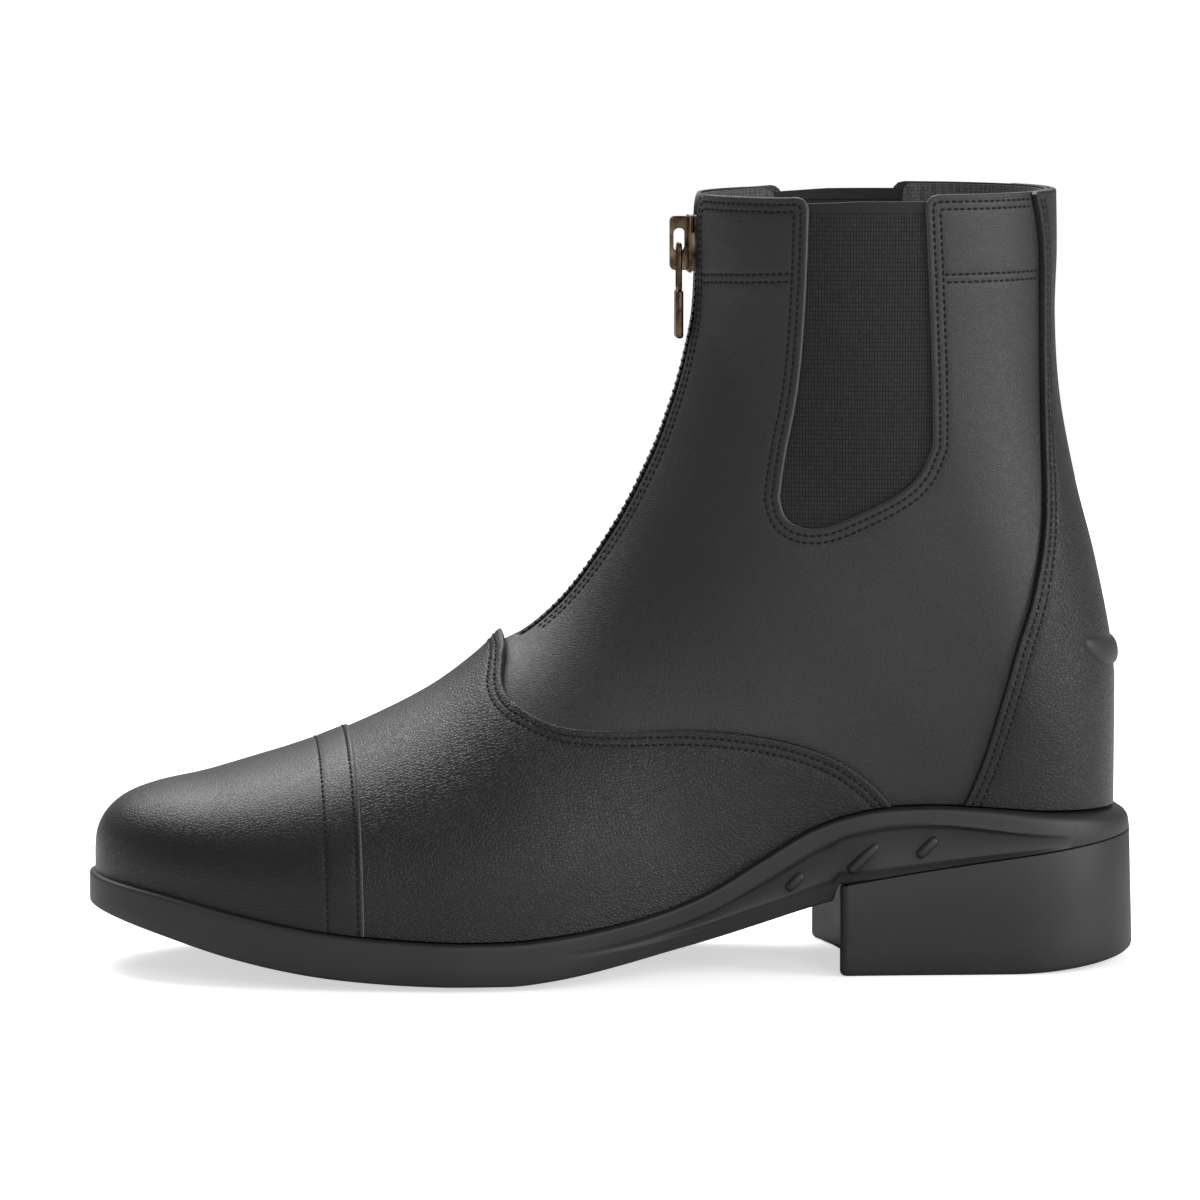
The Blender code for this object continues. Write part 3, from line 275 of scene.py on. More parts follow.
@dataclass
class Last:
    """Surface of the boot, lofted through its sections; around runs from -1 to 1 over the ridge."""

    sole: Sole = field(default_factory=Sole)
    throat_row: int = 10
    heel_row: int = 17
    foot_bulge: float = 0.0006
    bulge_fade: float = 0.02
    seat_blend: float = 0.03
    opening_rows: float = 5.0
    # front, foot, shin, back, heel, hug, girth, widest, crown, round, ridge
    section_rows: tuple = (
        (0.0000, 0.085, 0.000, 0.0000, 0.00, 1.0, 1.000, 0.80, 2.20, 1.00, 0.050),
        (0.0021, 0.150, 0.000, 0.0028, 0.00, 1.0, 1.000, 0.80, 2.20, 1.00, 0.050),
        (0.0109, 0.210, 0.000, 0.0135, 0.00, 1.0, 1.000, 0.80, 2.20, 1.00, 0.050),
        (0.0281, 0.266, 0.000, 0.0328, 0.00, 1.0, 1.000, 0.80, 2.20, 1.00, 0.050),
        (0.0578, 0.322, 0.000, 0.0641, 0.00, 1.0, 1.000, 0.79, 2.20, 1.00, 0.050),
        (0.1016, 0.390, 0.000, 0.1068, 0.00, 1.0, 1.000, 0.78, 2.15, 1.00, 0.048),
        (0.1568, 0.487, 0.000, 0.1609, 0.00, 1.0, 1.000, 0.77, 2.10, 1.00, 0.046),
        (0.2161, 0.590, 0.000, 0.2192, 0.00, 1.0, 1.000, 0.78, 2.03, 1.00, 0.044),
        (0.2765, 0.705, 0.000, 0.2807, 0.00, 1.0, 1.000, 0.80, 1.94, 1.00, 0.042),
        (0.3369, 0.835, 0.000, 0.3474, 0.00, 1.0, 1.000, 0.82, 1.84, 1.00, 0.038),
        (0.3953, 1.000, 0.000, 0.4244, 0.00, 1.0, 1.000, 0.82, 1.76, 1.00, 0.032),
        (0.4515, 1.000, 0.093, 0.5161, 0.00, 1.0, 1.000, 0.80, 1.72, 1.00, 0.024),
        (0.5036, 1.000, 0.256, 0.6306, 0.00, 0.8, 0.920, 0.74, 1.72, 1.00, 0.014),
        (0.5400, 1.000, 0.412, 0.7556, 0.00, 0.4, 0.880, 0.62, 1.76, 1.00, 0.006),
        (0.5598, 1.000, 0.528, 0.8702, 0.00, 0.1, 0.900, 0.54, 1.82, 1.00, 0.002),
        (0.5692, 1.000, 0.597, 0.9504, 0.00, 0.0, 0.910, 0.51, 1.88, 1.00, 0.000),
        (0.5746, 1.000, 0.645, 0.9889, 0.00, 0.0, 0.920, 0.50, 1.92, 1.00, 0.000),
        (0.5786, 1.000, 0.685, 1.0000, 0.00, 0.0, 0.925, 0.50, 1.95, 1.00, 0.000),
        (0.5815, 1.000, 0.720, 1.0000, 0.08, 0.0, 0.930, 0.50, 1.97, 1.02, 0.000),
        (0.5833, 1.000, 0.755, 0.9988, 0.23, 0.0, 0.935, 0.50, 2.00, 1.06, 0.000),
        (0.5843, 1.000, 0.790, 0.9806, 0.39, 0.0, 0.940, 0.50, 2.00, 1.12, 0.000),
        (0.5848, 1.000, 0.825, 0.9598, 0.52, 0.0, 0.950, 0.50, 2.00, 1.18, 0.000),
        (0.5848, 1.000, 0.865, 0.9431, 0.66, 0.0, 0.965, 0.50, 2.00, 1.25, 0.000),
        (0.5848, 1.000, 0.910, 0.9374, 0.79, 0.0, 0.985, 0.50, 2.00, 1.31, 0.000),
        (0.5853, 1.000, 0.955, 0.9389, 0.90, 0.0, 1.000, 0.50, 2.00, 1.36, 0.000),
        (0.5869, 1.000, 1.000, 0.9379, 1.00, 0.0, 1.010, 0.50, 2.00, 1.40, 0.000),
    )

    def __post_init__(self) -> None:
        """Keep the sections as an array and note the line of the back."""
        self.table = np.array(self.section_rows)
        self.sizes = self.sole.sizes
        rows = np.linspace(self.heel_row, self.top_row, 961)
        back = self.ends(rows)[1]
        self.back_heights, self.back_places = back[:, 1], back[:, 0]

    @property
    def top_row(self) -> float:
        """Row number of the collar."""
        return len(self.section_rows) - 1.0

    def x_at(self, share: Array) -> Array:
        """Place of a share of the last's length from its toe."""
        s = self.sizes
        return -s.sole_length / 2 + s.rim_toe + share * (s.sole_length - s.rim_toe - s.rim_heel)

    def sections(self, row: Array) -> Array:
        """Values of the sections at row numbers between the table's rows."""
        count = len(self.table)
        low = np.clip(np.floor(row).astype(int), 0, count - 2)
        t = (row - low)[:, None]
        ys = [self.table[np.clip(low + k, 0, count - 1)] for k in (-1, 0, 1, 2)]
        m0, m1 = (ys[2] - ys[0]) / 2, (ys[3] - ys[1]) / 2
        bend = t * (1 - t) * (m0 * (1 - t) - m1 * t)
        return ys[1] * (1 + 2 * t) * (1 - t) ** 2 + ys[2] * t * t * (3 - 2 * t) + bend

    def ends(self, row: Array) -> tuple[Array, Array, Array]:
        """Front and back points of sections in the side view, with their values."""
        s, cut = self.sizes, self.sections(row)
        throat_x = self.x_at(self.table[self.throat_row][0])
        throat = self.sole.top(np.array([throat_x]))[0] + s.instep_rise
        front_x = self.x_at(cut[:, 0])
        front_z = self.sole.top(np.minimum(front_x, throat_x)) + np.minimum(cut[:, 1], 1) * s.instep_rise
        front_z = front_z + cut[:, 2] * (s.boot_height - throat)
        back_x = self.x_at(np.minimum(cut[:, 3], 1))
        seat = self.sole.top(back_x) + s.sole_gap
        rise = np.where(row > self.heel_row, np.maximum(cut[:, 4], 0), 0)
        back_z = seat + rise * (s.boot_height - seat)
        return np.stack([front_x, front_z], 1), np.stack([back_x, back_z], 1), cut

    def opening(self, row: Array) -> Array:
        """How open a section is at the sole, from 1 to 0."""
        share = np.clip((self.heel_row - row) / self.opening_rows, 0, 1)
        return share * share * (3 - 2 * share)

    def points(self, row: Array, around: Array, open_share: Array | None = None) -> Array:
        """Points of the surface.

        Args:
            row: Row numbers.
            around: Places around, the outer side negative.
            open_share: How open each section is, if it isn't its own row's.

        Returns:
            One point a row.
        """
        s = self.sizes
        front, back, cut = self.ends(row)
        length = self.x_at(1.0) - self.x_at(0.0)
        if open_share is None:
            open_share = self.opening(row)
        turn = np.abs(around) * math.pi
        share = (1 - open_share) * (1 - np.cos(turn)) / 2 + open_share * (1 - np.cos(turn / 2))
        side = front + (back - front) * share[:, None]
        x, z = side[:, 0], side[:, 1]
        insets = dict(toe=s.rim_toe, heel=s.rim_heel, side=s.rim_side, heel_round=False)
        flat_edge, swing = self.sole.half_and_swing(back[:, 0], **insets)
        bulge = self.foot_bulge * np.minimum(flat_edge / self.bulge_fade, 1)
        hug = cut[:, 5]
        half = hug * (flat_edge + bulge) + (1 - hug) * cut[:, 6] * s.shaft_width / 2
        near = np.maximum(1 - np.maximum(z - self.sole.top(x) - s.sole_gap, 0) / self.seat_blend, 0) ** 2
        half = half + (self.sole.half_and_swing(x, **insets)[0] - half) * near
        crown = (1 - (1 - np.minimum(share / cut[:, 7], 1)) ** cut[:, 8]) ** (1 / cut[:, 8])
        behind = np.interp(z, self.back_heights, self.back_places) - x
        behind = np.where((row >= self.heel_row) & (share > 1 - 1e-9), 0.0, behind)
        half = half * crown * self.sole.round_end(behind / length, s.heel_round * cut[:, 9])
        centre = cut[:, 10] * s.sole_width * (1 - share) + swing * share * (row < self.heel_row)
        return np.stack([x, centre + np.where(around < 0, -half, half), z], axis=1)

    def normals(self, row: Array, around: Array) -> Array:
        """Outward directions of the surface."""
        step_row, step_around = 0.02, 0.004
        seam = (row < 1e-6) | ((row > self.heel_row - 1e-6) & (np.abs(around) > 1 - 1e-6))
        row = np.clip(row, 0.12, self.top_row - step_row)
        closed = row > self.heel_row - 1e-6
        open_share = self.opening(row)

        def near(value: Array) -> Array:
            """Points at places around, which may lie past the ends of a section."""
            wrapped = np.where(closed, value - np.copysign(2, value), np.copysign(1, value))
            return self.points(row, np.where(np.abs(value) <= 1, value, wrapped), open_share)

        across = near(around + step_around) - near(around - step_around)
        along = (self.points(row + step_row, around, open_share)
                 - self.points(row - step_row, around, open_share))
        normal = np.cross(along, across)
        normal[:, 1] = np.where(seam, 0, normal[:, 1])
        return normal / np.maximum(np.linalg.norm(normal, axis=1, keepdims=True), 1e-12)

    def shell(self, row: Array, around: Array, offset: Array) -> Array:
        """Points at an offset outside the surface, level at the collar and the sole."""
        normal = self.normals(row, around)
        level = (row >= self.top_row - 1e-6) | ((np.abs(around) >= 1 - 1e-6) & (row <= self.heel_row))
        normal[:, 2] = np.where(level, 0, normal[:, 2])
        normal = normal / np.maximum(np.linalg.norm(normal, axis=1, keepdims=True), 1e-12)
        return self.points(row, around) + np.asarray(offset).reshape(-1, 1) * normal

    def row_on_ridge(self, x: float) -> float:
        """Row whose front point is at a place along the ridge."""
        rows = np.linspace(0, 13, 1301)
        return float(np.interp(x, self.ends(rows)[0][:, 0], rows))


Raw = Callable[[Array, Array, Array], Array]


@dataclass(frozen=True)
class Edge:
    """Edge of a leather piece: a distance that is positive on the piece."""

    last: Last
    raw: Raw

    def distance(self, row: Array, around: Array) -> Array:
        """Distances from the edge, measured on the surface.

        Args:
            row: Row numbers.
            around: Places around.

        Returns:
            Distances in metres, exact near the edge.
        """
        step_row, step_around = 0.01, 0.002
        base = self.last.points(row, around)
        value = self.raw(base, row, around)
        other_row = np.minimum(row + step_row, self.last.top_row)
        other_row = np.where(other_row - row < step_row / 2, row - step_row, other_row)
        other_around = np.where(np.abs(around) > 0.9, around - np.copysign(step_around, around),
                                around + step_around)
        along = self.last.points(other_row, around)
        across = self.last.points(row, other_around)
        du = self.raw(along, other_row, around) - value
        dv = self.raw(across, row, other_around) - value
        a, b = along - base, across - base
        aa, ab, bb = (a * a).sum(1), (a * b).sum(1), (b * b).sum(1)
        spread = np.maximum(aa * bb - ab * ab, 1e-24)
        steep = np.sqrt(np.maximum((du * du * bb - 2 * du * dv * ab + dv * dv * aa) / spread, 0.05))
        return value / steep


def new_grid(columns: int, rows: int, low: Sequence[float], high: Sequence[float]) -> bmesh.types.BMesh:
    """Flat grid whose x and y hold the two parameters of a surface.

    Args:
        columns: Cells along the first parameter.
        rows: Cells along the second.
        low: Lowest parameters.
        high: Highest parameters.

    Returns:
        The grid.
    """
    mesh = bmesh.new()
    bmesh.ops.create_grid(mesh, x_segments=columns, y_segments=rows, size=0.5)
    for vert in mesh.verts:
        vert.co.x = low[0] + (vert.co.x + 0.5) * (high[0] - low[0])
        vert.co.y = low[1] + (vert.co.y + 0.5) * (high[1] - low[1])
    return mesh


def params_of(mesh: bmesh.types.BMesh) -> tuple[Array, Array]:
    """Both parameters of a flat grid's vertices."""
    flat = np.array([(v.co.x, v.co.y) for v in mesh.verts])
    return flat[:, 0], flat[:, 1]


def move_to(mesh: bmesh.types.BMesh, points: Array) -> None:
    """Move each vertex to its point."""
    for vert, point in zip(mesh.verts, points):
        vert.co = point


def score(mesh: bmesh.types.BMesh, values: Array, level: float, snap: float = 0.14) -> None:
    """Cut a flat grid along the line where its values pass a level.

    Args:
        mesh: The grid.
        values: A value for each vertex.
        level: Value of the line.
        snap: Share of an edge within which a vertex moves to the line instead.
    """
    mesh.verts.index_update()
    off = values - level
    on_line = set()
    for edge in mesh.edges:
        a, b = edge.verts
        if off[a.index] * off[b.index] >= 0:
            continue
        share = off[a.index] / (off[a.index] - off[b.index])
        near, part = (a, share) if share < 0.5 else (b, 1 - share)
        if part < snap and not near.tag and near not in on_line and not near.is_boundary:
            near.co = a.co + (b.co - a.co) * share
            on_line.add(near)
    for vert in on_line:
        off[vert.index] = 0.0
        vert.tag = True
    cuts = []
    for edge in mesh.edges:
        a, b = edge.verts
        if off[a.index] * off[b.index] < 0:
            cuts.append((edge, a, off[a.index] / (off[a.index] - off[b.index])))
    for edge, start, share in cuts:
        made = bmesh.utils.edge_split(edge, start, share)[1]
        made.tag = True
        on_line.add(made)
    bmesh.ops.connect_verts(mesh, verts=list(on_line))


def trim(mesh: bmesh.types.BMesh, distance: Callable[[Array, Array], Array]) -> None:
    """Cut away the part of a flat grid where a distance is negative."""
    score(mesh, distance(*params_of(mesh)), 0.0)
    values = distance(*params_of(mesh))
    mesh.verts.index_update()
    outside = [f for f in mesh.faces if sum(values[v.index] for v in f.verts) / len(f.verts) < 0]
    bmesh.ops.delete(mesh, geom=outside, context="FACES")


def add_piece(name: str, mesh: bmesh.types.BMesh, finish: bpy.types.Material,
              body: Body = Body.BOOT, replaced: Sequence[str] = (), angle: float = 60,
              recalculate: bool = True, second: bpy.types.Material | None = None) -> bpy.types.Object:
    """Make a piece of a bmesh and let it ride on its body.

    Args:
        name: Name of the piece.
        mesh: Its bmesh, which is freed.
        finish: Its material.
        body: The body that it rides on.
        replaced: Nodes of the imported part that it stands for.
        angle: Edges sharper than this in degrees stay sharp.
        recalculate: Whether its faces are turned outwards.
        second: Material of the faces that are marked for it.

    Returns:
        The piece.
    """
    if recalculate:
        bmesh.ops.recalc_face_normals(mesh, faces=mesh.faces)
    data = bpy.data.meshes.new(name)
    mesh.to_mesh(data)
    mesh.free()
    data.materials.append(finish)
    if second is not None:
        data.materials.append(second)
    data.shade_smooth()
    data.set_sharp_from_angle(angle=math.radians(angle))
    piece = bpy.data.objects.new(name, data)
    bpy.context.scene.collection.objects.link(piece)
    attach(piece, body.value)
    if replaced:
        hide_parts(*replaced)
    log.info("%s: %d faces", name, len(data.polygons))
    return piece


@dataclass(frozen=True)
class Outline:
    """Whole outline of a piece, for seams that run round its corners."""

    distance: Callable[[Array, Array], Array]


@dataclass(frozen=True)
class Seam:
    """Rows of stitches that follow an edge of a piece."""

    edge: Edge | Outline
    distances: tuple[float, ...]
    rows: tuple[float, float]
    around: tuple[float, float]
    keep: Callable[[Array], Array]


@dataclass
class Panel:
    """Leather or cloth panel that follows the last, with rounded edges and sunk seams."""

    name: str
    last: Last
    rows: tuple[float, float]
    around: tuple[tuple[float, float], ...]
    cells: tuple[int, int]
    distance: Callable[[Array, Array], Array] | None
    inner: float
    outer: float
    seams: tuple[Seam, ...] = ()
    seam_depth: float = 0.20 * MM
    seam_width: float = 0.60 * MM
    rim: float = 0.5 * MM
    lift: Callable[[Array, Array], Array] | None = None
    # Whether faces along the cut edge get a paler colour, a painted highlight.
    painted_edge_highlight: bool = False

    def surface(self) -> bmesh.types.BMesh:
        """Cut the flat panel and score it along its rim and seams."""
        whole = bmesh.new()
        spare = bpy.data.meshes.new("spare")
        for low, high in self.around:
            part = new_grid(self.cells[0], self.cells[1], (self.rows[0], low), (self.rows[1], high))
            if self.distance is not None:
                trim(part, self.distance)
                for level in (0.3 * self.rim, self.rim):
                    score(part, self.distance(*params_of(part)), level)
            for seam in self.seams:
                for level in self.seam_levels(seam):
                    row, around = params_of(part)
                    values = seam.edge.distance(row, around)
                    far = ~seam.keep(self.last.points(row, around))
                    score(part, np.where(far, level + 1.0, values), level)
            part.to_mesh(spare)
            part.free()
            whole.from_mesh(spare)
        bpy.data.meshes.remove(spare)
        return whole

    def seam_levels(self, seam: Seam) -> list[float]:
        """Distances at which a seam needs a line of vertices."""
        levels = []
        for distance in seam.distances:
            levels += [distance - 1.2 * self.seam_width, distance, distance + 1.2 * self.seam_width]
        return levels

    def top_offset(self, row: Array, around: Array) -> Array:
        """Offsets of the outer face, dropped at the rim and along the seams."""
        offset = np.full(len(row), self.outer)
        if self.distance is not None:
            inside = np.clip(self.distance(row, around), 0, self.rim)
            offset -= self.rim - np.sqrt(np.maximum(self.rim ** 2 - (self.rim - inside) ** 2, 0))
        points = self.last.points(row, around)
        for seam in self.seams:
            away = seam.edge.distance(row, around)
            keep = seam.keep(points)
            for distance in seam.distances:
                sunk = np.exp(-((away - distance) / self.seam_width) ** 2)
                offset -= self.seam_depth * sunk * keep
        if self.lift is not None:
            offset += self.lift(row, around)
        return offset

    def build(self) -> bmesh.types.BMesh:
        """Build the panel as a closed piece.

        Returns:
            The panel's bmesh.
        """
        mesh = self.surface()
        row_layer = mesh.verts.layers.float.new("row")
        around_layer = mesh.verts.layers.float.new("around")
        row, around = params_of(mesh)
        for vert, r, a in zip(mesh.verts, row, around):
            vert[row_layer] = r
            vert[around_layer] = a
        move_to(mesh, self.last.points(row, around))
        bmesh.ops.remove_doubles(mesh, verts=mesh.verts, dist=2e-5)
        made = bmesh.ops.extrude_face_region(mesh, geom=list(mesh.faces))
        top = {v for v in made["geom"] if isinstance(v, bmesh.types.BMVert)}
        row = np.array([v[row_layer] for v in mesh.verts])
        around = np.array([v[around_layer] for v in mesh.verts])
        is_top = np.array([v in top for v in mesh.verts])
        lift = self.lift(row, around) if self.lift is not None else 0.0
        offset = np.where(is_top, self.top_offset(row, around), self.inner + lift)
        move_to(mesh, self.last.shell(row, around, offset))
        # Painted highlight: faces along the cut edge take the paler second material.
        if self.painted_edge_highlight:
            mesh.verts.index_update()
            near = self.distance(row, around) < 0.32 * self.rim
            for face in mesh.faces:
                face.material_index = int(all(near[v.index] for v in face.verts))
        return mesh


def trace(edge: Edge, level: float, rows: tuple[float, float], around: tuple[float, float],
          cells: tuple[int, int] = (240, 240)) -> list[Array]:
    """Follow the line at a distance from an edge.

    Args:
        edge: The edge.
        level: Distance from it.
        rows: Rows to look in.
        around: Places around to look in.
        cells: Cells of the search.

    Returns:
        Lines as arrays of row number and place around.
    """
    u = np.linspace(rows[0], rows[1], cells[0] + 1)
    v = np.linspace(around[0], around[1], cells[1] + 1)
    grid_u, grid_v = np.meshgrid(u, v, indexing="ij")
    values = edge.distance(grid_u.ravel(), grid_v.ravel()).reshape(grid_u.shape) - level
    sign = values > 0
    crossing: dict[tuple, Array] = {}
    for axis in (0, 1):
        a = values[:-1, :] if axis == 0 else values[:, :-1]
        b = values[1:, :] if axis == 0 else values[:, 1:]
        for i, j in zip(*np.nonzero((a > 0) != (b > 0))):
            t = a[i, j] / (a[i, j] - b[i, j])
            step = (u[1] - u[0], 0.0) if axis == 0 else (0.0, v[1] - v[0])
            crossing[(axis, i, j)] = np.array([u[i] + t * step[0], v[j] + t * step[1]])
    links: dict[tuple, list] = {key: [] for key in crossing}
    mixed = sign[:-1, :-1].astype(int) + sign[1:, :-1] + sign[:-1, 1:] + sign[1:, 1:]
    for i, j in zip(*np.nonzero((mixed > 0) & (mixed < 4))):
        keys = [k for k in ((0, i, j), (1, i + 1, j), (0, i, j + 1), (1, i, j)) if k in crossing]
        for a, b in zip(keys[::2], keys[1::2]):
            links[a].append(b)
            links[b].append(a)
    lines, seen = [], set()
    starts = [k for k in links if len(links[k]) == 1] + list(links)
    for start in starts:
        if start in seen:
            continue
        line, here = [], start
        while here is not None:
            seen.add(here)
            line.append(crossing[here])
            onward = [k for k in links[here] if k not in seen]
            here = onward[0] if onward else None
        if len(line) > 3:
            lines.append(np.array(line))
    return lines


@dataclass
class Stitching:
    """Rows of thread stitches on the leather."""

    last: Last
    pitch: float = 1.85 * MM
    length: float = 1.10 * MM
    thread: float = 0.27 * MM
    shaded_hole_radius: float = 0.24 * MM
    sink: float = 0.02 * MM

    def template(self) -> bpy.types.Mesh:
        """Mesh of one stitch, along x, with its seat at the origin and at each end a flat dark disc for the
        needle hole with painted shade in it.
        """
        mesh = bmesh.new()
        bmesh.ops.create_uvsphere(mesh, u_segments=6, v_segments=5, radius=1.0,
                                  matrix=Matrix.Rotation(math.pi / 2, 4, "Y"))
        bmesh.ops.scale(mesh, vec=(self.length / 2, self.thread * 1.15, self.thread), verts=mesh.verts)
        # Painted shade: a flattened dark disc at each end stands for the needle hole and the shade in it.
        for side in (-1, 1):
            shaded_hole = bmesh.ops.create_uvsphere(mesh, u_segments=6, v_segments=4, radius=self.shaded_hole_radius)["verts"]
            bmesh.ops.scale(mesh, vec=(1, 1, 0.4), verts=shaded_hole)
            bmesh.ops.translate(mesh, vec=(side * self.length * 0.44, 0, -0.03 * MM), verts=shaded_hole)
        data = bpy.data.meshes.new("stitch")
        mesh.to_mesh(data)
        mesh.free()
        return data

    def row_points(self, line: Array, offset: Callable[[Array, Array], Array]) -> Array:
        """Space a line evenly for its stitches.

        Args:
            line: Row numbers and places around.
            offset: Height of the leather's face over the last.

        Returns:
            Row number and place around of the middle and both ends of each stitch.
        """
        points = self.last.shell(line[:, 0], line[:, 1], offset(line[:, 0], line[:, 1]))
        run = np.concatenate([[0], np.cumsum(np.linalg.norm(np.diff(points, axis=0), axis=1))])
        count = max(int(run[-1] / self.pitch), 1)
        middle = (np.arange(count) + 0.5) * run[-1] / count
        result = []
        for shift in (-self.length / 2, 0.0, self.length / 2):
            result.append([np.interp(middle + shift, run, line[:, k]) for k in (0, 1)])
        return np.array(result)

    def sew(self, mesh: bmesh.types.BMesh, template: bpy.types.Mesh, line: Array,
            offset: Callable[[Array, Array], Array]) -> None:
        """Add one row of stitches to a bmesh."""
        spots = self.row_points(line, offset)
        start, middle, end = [self.last.shell(p[0], p[1], offset(p[0], p[1])) for p in spots]
        normals = self.last.normals(spots[1][0], spots[1][1])
        for a, m, b, n in zip(start, middle, end, normals):
            along = Vector(b - a).normalized()
            up = Vector(n)
            across = up.cross(along).normalized()
            up = along.cross(across)
            turn = Matrix((along, across, up)).transposed().to_4x4()
            move = Matrix.Translation(Vector(m) + up * (self.thread - self.sink) * 0.5) @ turn
            template.transform(move)
            mesh.from_mesh(template)
            template.transform(move.inverted())

    def build(self, name: str, seams: Sequence[Seam], offset: Callable[[Array, Array], Array],
              finish: bpy.types.Material, slot: str) -> None:
        """Sew all rows of some seams as one piece.

        Args:
            name: Name of the piece.
            seams: The seams.
            offset: Height of the leather's face over the last.
            finish: Material of the thread.
            slot: Not used.
        """
        mesh, template = bmesh.new(), self.template()
        for seam in seams:
            for distance in seam.distances:
                cells = (int(16 * (seam.rows[1] - seam.rows[0])),
                         int(240 * (seam.around[1] - seam.around[0])))
                for line in trace(seam.edge, distance, seam.rows, seam.around, cells):
                    kept = seam.keep(self.last.points(line[:, 0], line[:, 1]))
                    breaks = np.nonzero(np.diff(kept.astype(int)))[0] + 1
                    for part, good in zip(np.split(line, breaks), np.split(kept, breaks)):
                        if good[0] and len(part) > 3:
                            self.sew(mesh, template, part, offset)
        bpy.data.meshes.remove(template)
        add_piece(name, mesh, finish, recalculate=False)


def add_node(tree: bpy.types.NodeTree, kind: str, settings: dict | None = None,
             inputs: dict | None = None) -> bpy.types.Node:
    """Add a node with its settings and links.

    Args:
        tree: The material's node tree.
        kind: Kind of the node.
        settings: Attributes of the node.
        inputs: Values of its inputs, or the sockets to link to them.

    Returns:
        The node.
    """
    node = tree.nodes.new(kind)
    for key, value in (settings or {}).items():
        setattr(node, key, value)
    for key, value in (inputs or {}).items():
        if isinstance(value, bpy.types.NodeSocket):
            tree.links.new(value, node.inputs[key])
        else:
            node.inputs[key].default_value = value
    return node


def blank_material(name: str) -> tuple[bpy.types.Material, bpy.types.NodeTree, bpy.types.Node]:
    """Material with its tree and its shader."""
    made = bpy.data.materials.new(name)
    made.use_nodes = True
    return made, made.node_tree, made.node_tree.nodes["Principled BSDF"]


def colour_ramp(tree: bpy.types.NodeTree, source: bpy.types.NodeSocket,
                stops: Sequence[tuple[float, str]]) -> bpy.types.Node:
    """Ramp of sRGB colours over a value."""
    ramp = add_node(tree, "ShaderNodeValToRGB", inputs={0: source})
    elements = ramp.color_ramp.elements
    while len(elements) < len(stops):
        elements.new(0.5)
    for element, (at, colour) in zip(elements, stops):
        element.position = at
        element.color = linear(colour)
    return ramp


def spread(tree: bpy.types.NodeTree, source: bpy.types.NodeSocket, low: float, high: float,
           from_low: float = 0.3, from_high: float = 0.7) -> bpy.types.NodeSocket:
    """Map a value to a range."""
    node = add_node(tree, "ShaderNodeMapRange", inputs={
        "Value": source, "From Min": from_low, "From Max": from_high, "To Min": low, "To Max": high})
    return node.outputs["Result"]


@dataclass(frozen=True)
class Leather:
    """Corrected-grain cowhide, dyed through and finished with a thin satin coat.

    The coat gives broad soft highlights, and the embossed pebble breaks them up.
    """

    name: str
    dark: str = "#141415"
    light: str = "#1a1a1b"
    pebble_mm: float = 0.55
    pebble_height: float = 0.06
    roughness: tuple[float, float] = (0.40, 0.50)
    gloss: float = 0.5

    def make(self) -> bpy.types.Material:
        """Make the material."""
        made, tree, shader = blank_material(self.name)
        place = add_node(tree, "ShaderNodeTexCoord").outputs["Object"]
        cloud = add_node(tree, "ShaderNodeTexNoise", inputs={
            "Vector": place, "Scale": 45.0, "Detail": 4.0, "Roughness": 0.6}).outputs["Fac"]
        fine = add_node(tree, "ShaderNodeTexNoise", inputs={
            "Vector": place, "Scale": 1 / (1.6 * MM), "Detail": 3.0}).outputs["Fac"]
        bent = add_node(tree, "ShaderNodeVectorMath", {"operation": "MULTIPLY_ADD"}, {
            0: add_node(tree, "ShaderNodeTexNoise", inputs={
                "Vector": place, "Scale": 1 / (2.5 * MM)}).outputs["Color"],
            1: (0.5 * MM,) * 3, 2: place}).outputs[0]
        pebble = add_node(tree, "ShaderNodeTexVoronoi", {"feature": "DISTANCE_TO_EDGE"}, {
            "Vector": bent, "Scale": 1 / (self.pebble_mm * MM)}).outputs["Distance"]
        valley = spread(tree, pebble, 0.0, 1.0, 0.0, 0.22)
        tint = colour_ramp(tree, cloud, ((0.3, self.dark), (0.7, self.light)))
        # Painted shade: the base colour is darkened in the valleys of the pebble grain.
        valley_shade = add_node(tree, "ShaderNodeMix", {"data_type": "RGBA", "blend_type": "MULTIPLY"}, {
            "Factor": 0.6, "A": tint.outputs["Color"],
            "B": colour_ramp(tree, valley, ((0.0, "#9a9a9a"), (0.6, "#ffffff"))).outputs["Color"]})
        tree.links.new(valley_shade.outputs["Result"], shader.inputs["Base Color"])
        rough = spread(tree, fine, self.roughness[0], self.roughness[1])
        tree.links.new(rough, shader.inputs["Roughness"])
        coarse_bump = add_node(tree, "ShaderNodeBump", inputs={
            "Height": fine, "Strength": 0.18, "Distance": 0.12 * MM})
        bump = add_node(tree, "ShaderNodeBump", inputs={
            "Height": valley, "Strength": 1.0, "Distance": self.pebble_height * MM,
            "Normal": coarse_bump.outputs["Normal"]})
        tree.links.new(bump.outputs["Normal"], shader.inputs["Normal"])
        shader.inputs["IOR"].default_value = 1.5
        shader.inputs["Specular IOR Level"].default_value = self.gloss
        return made


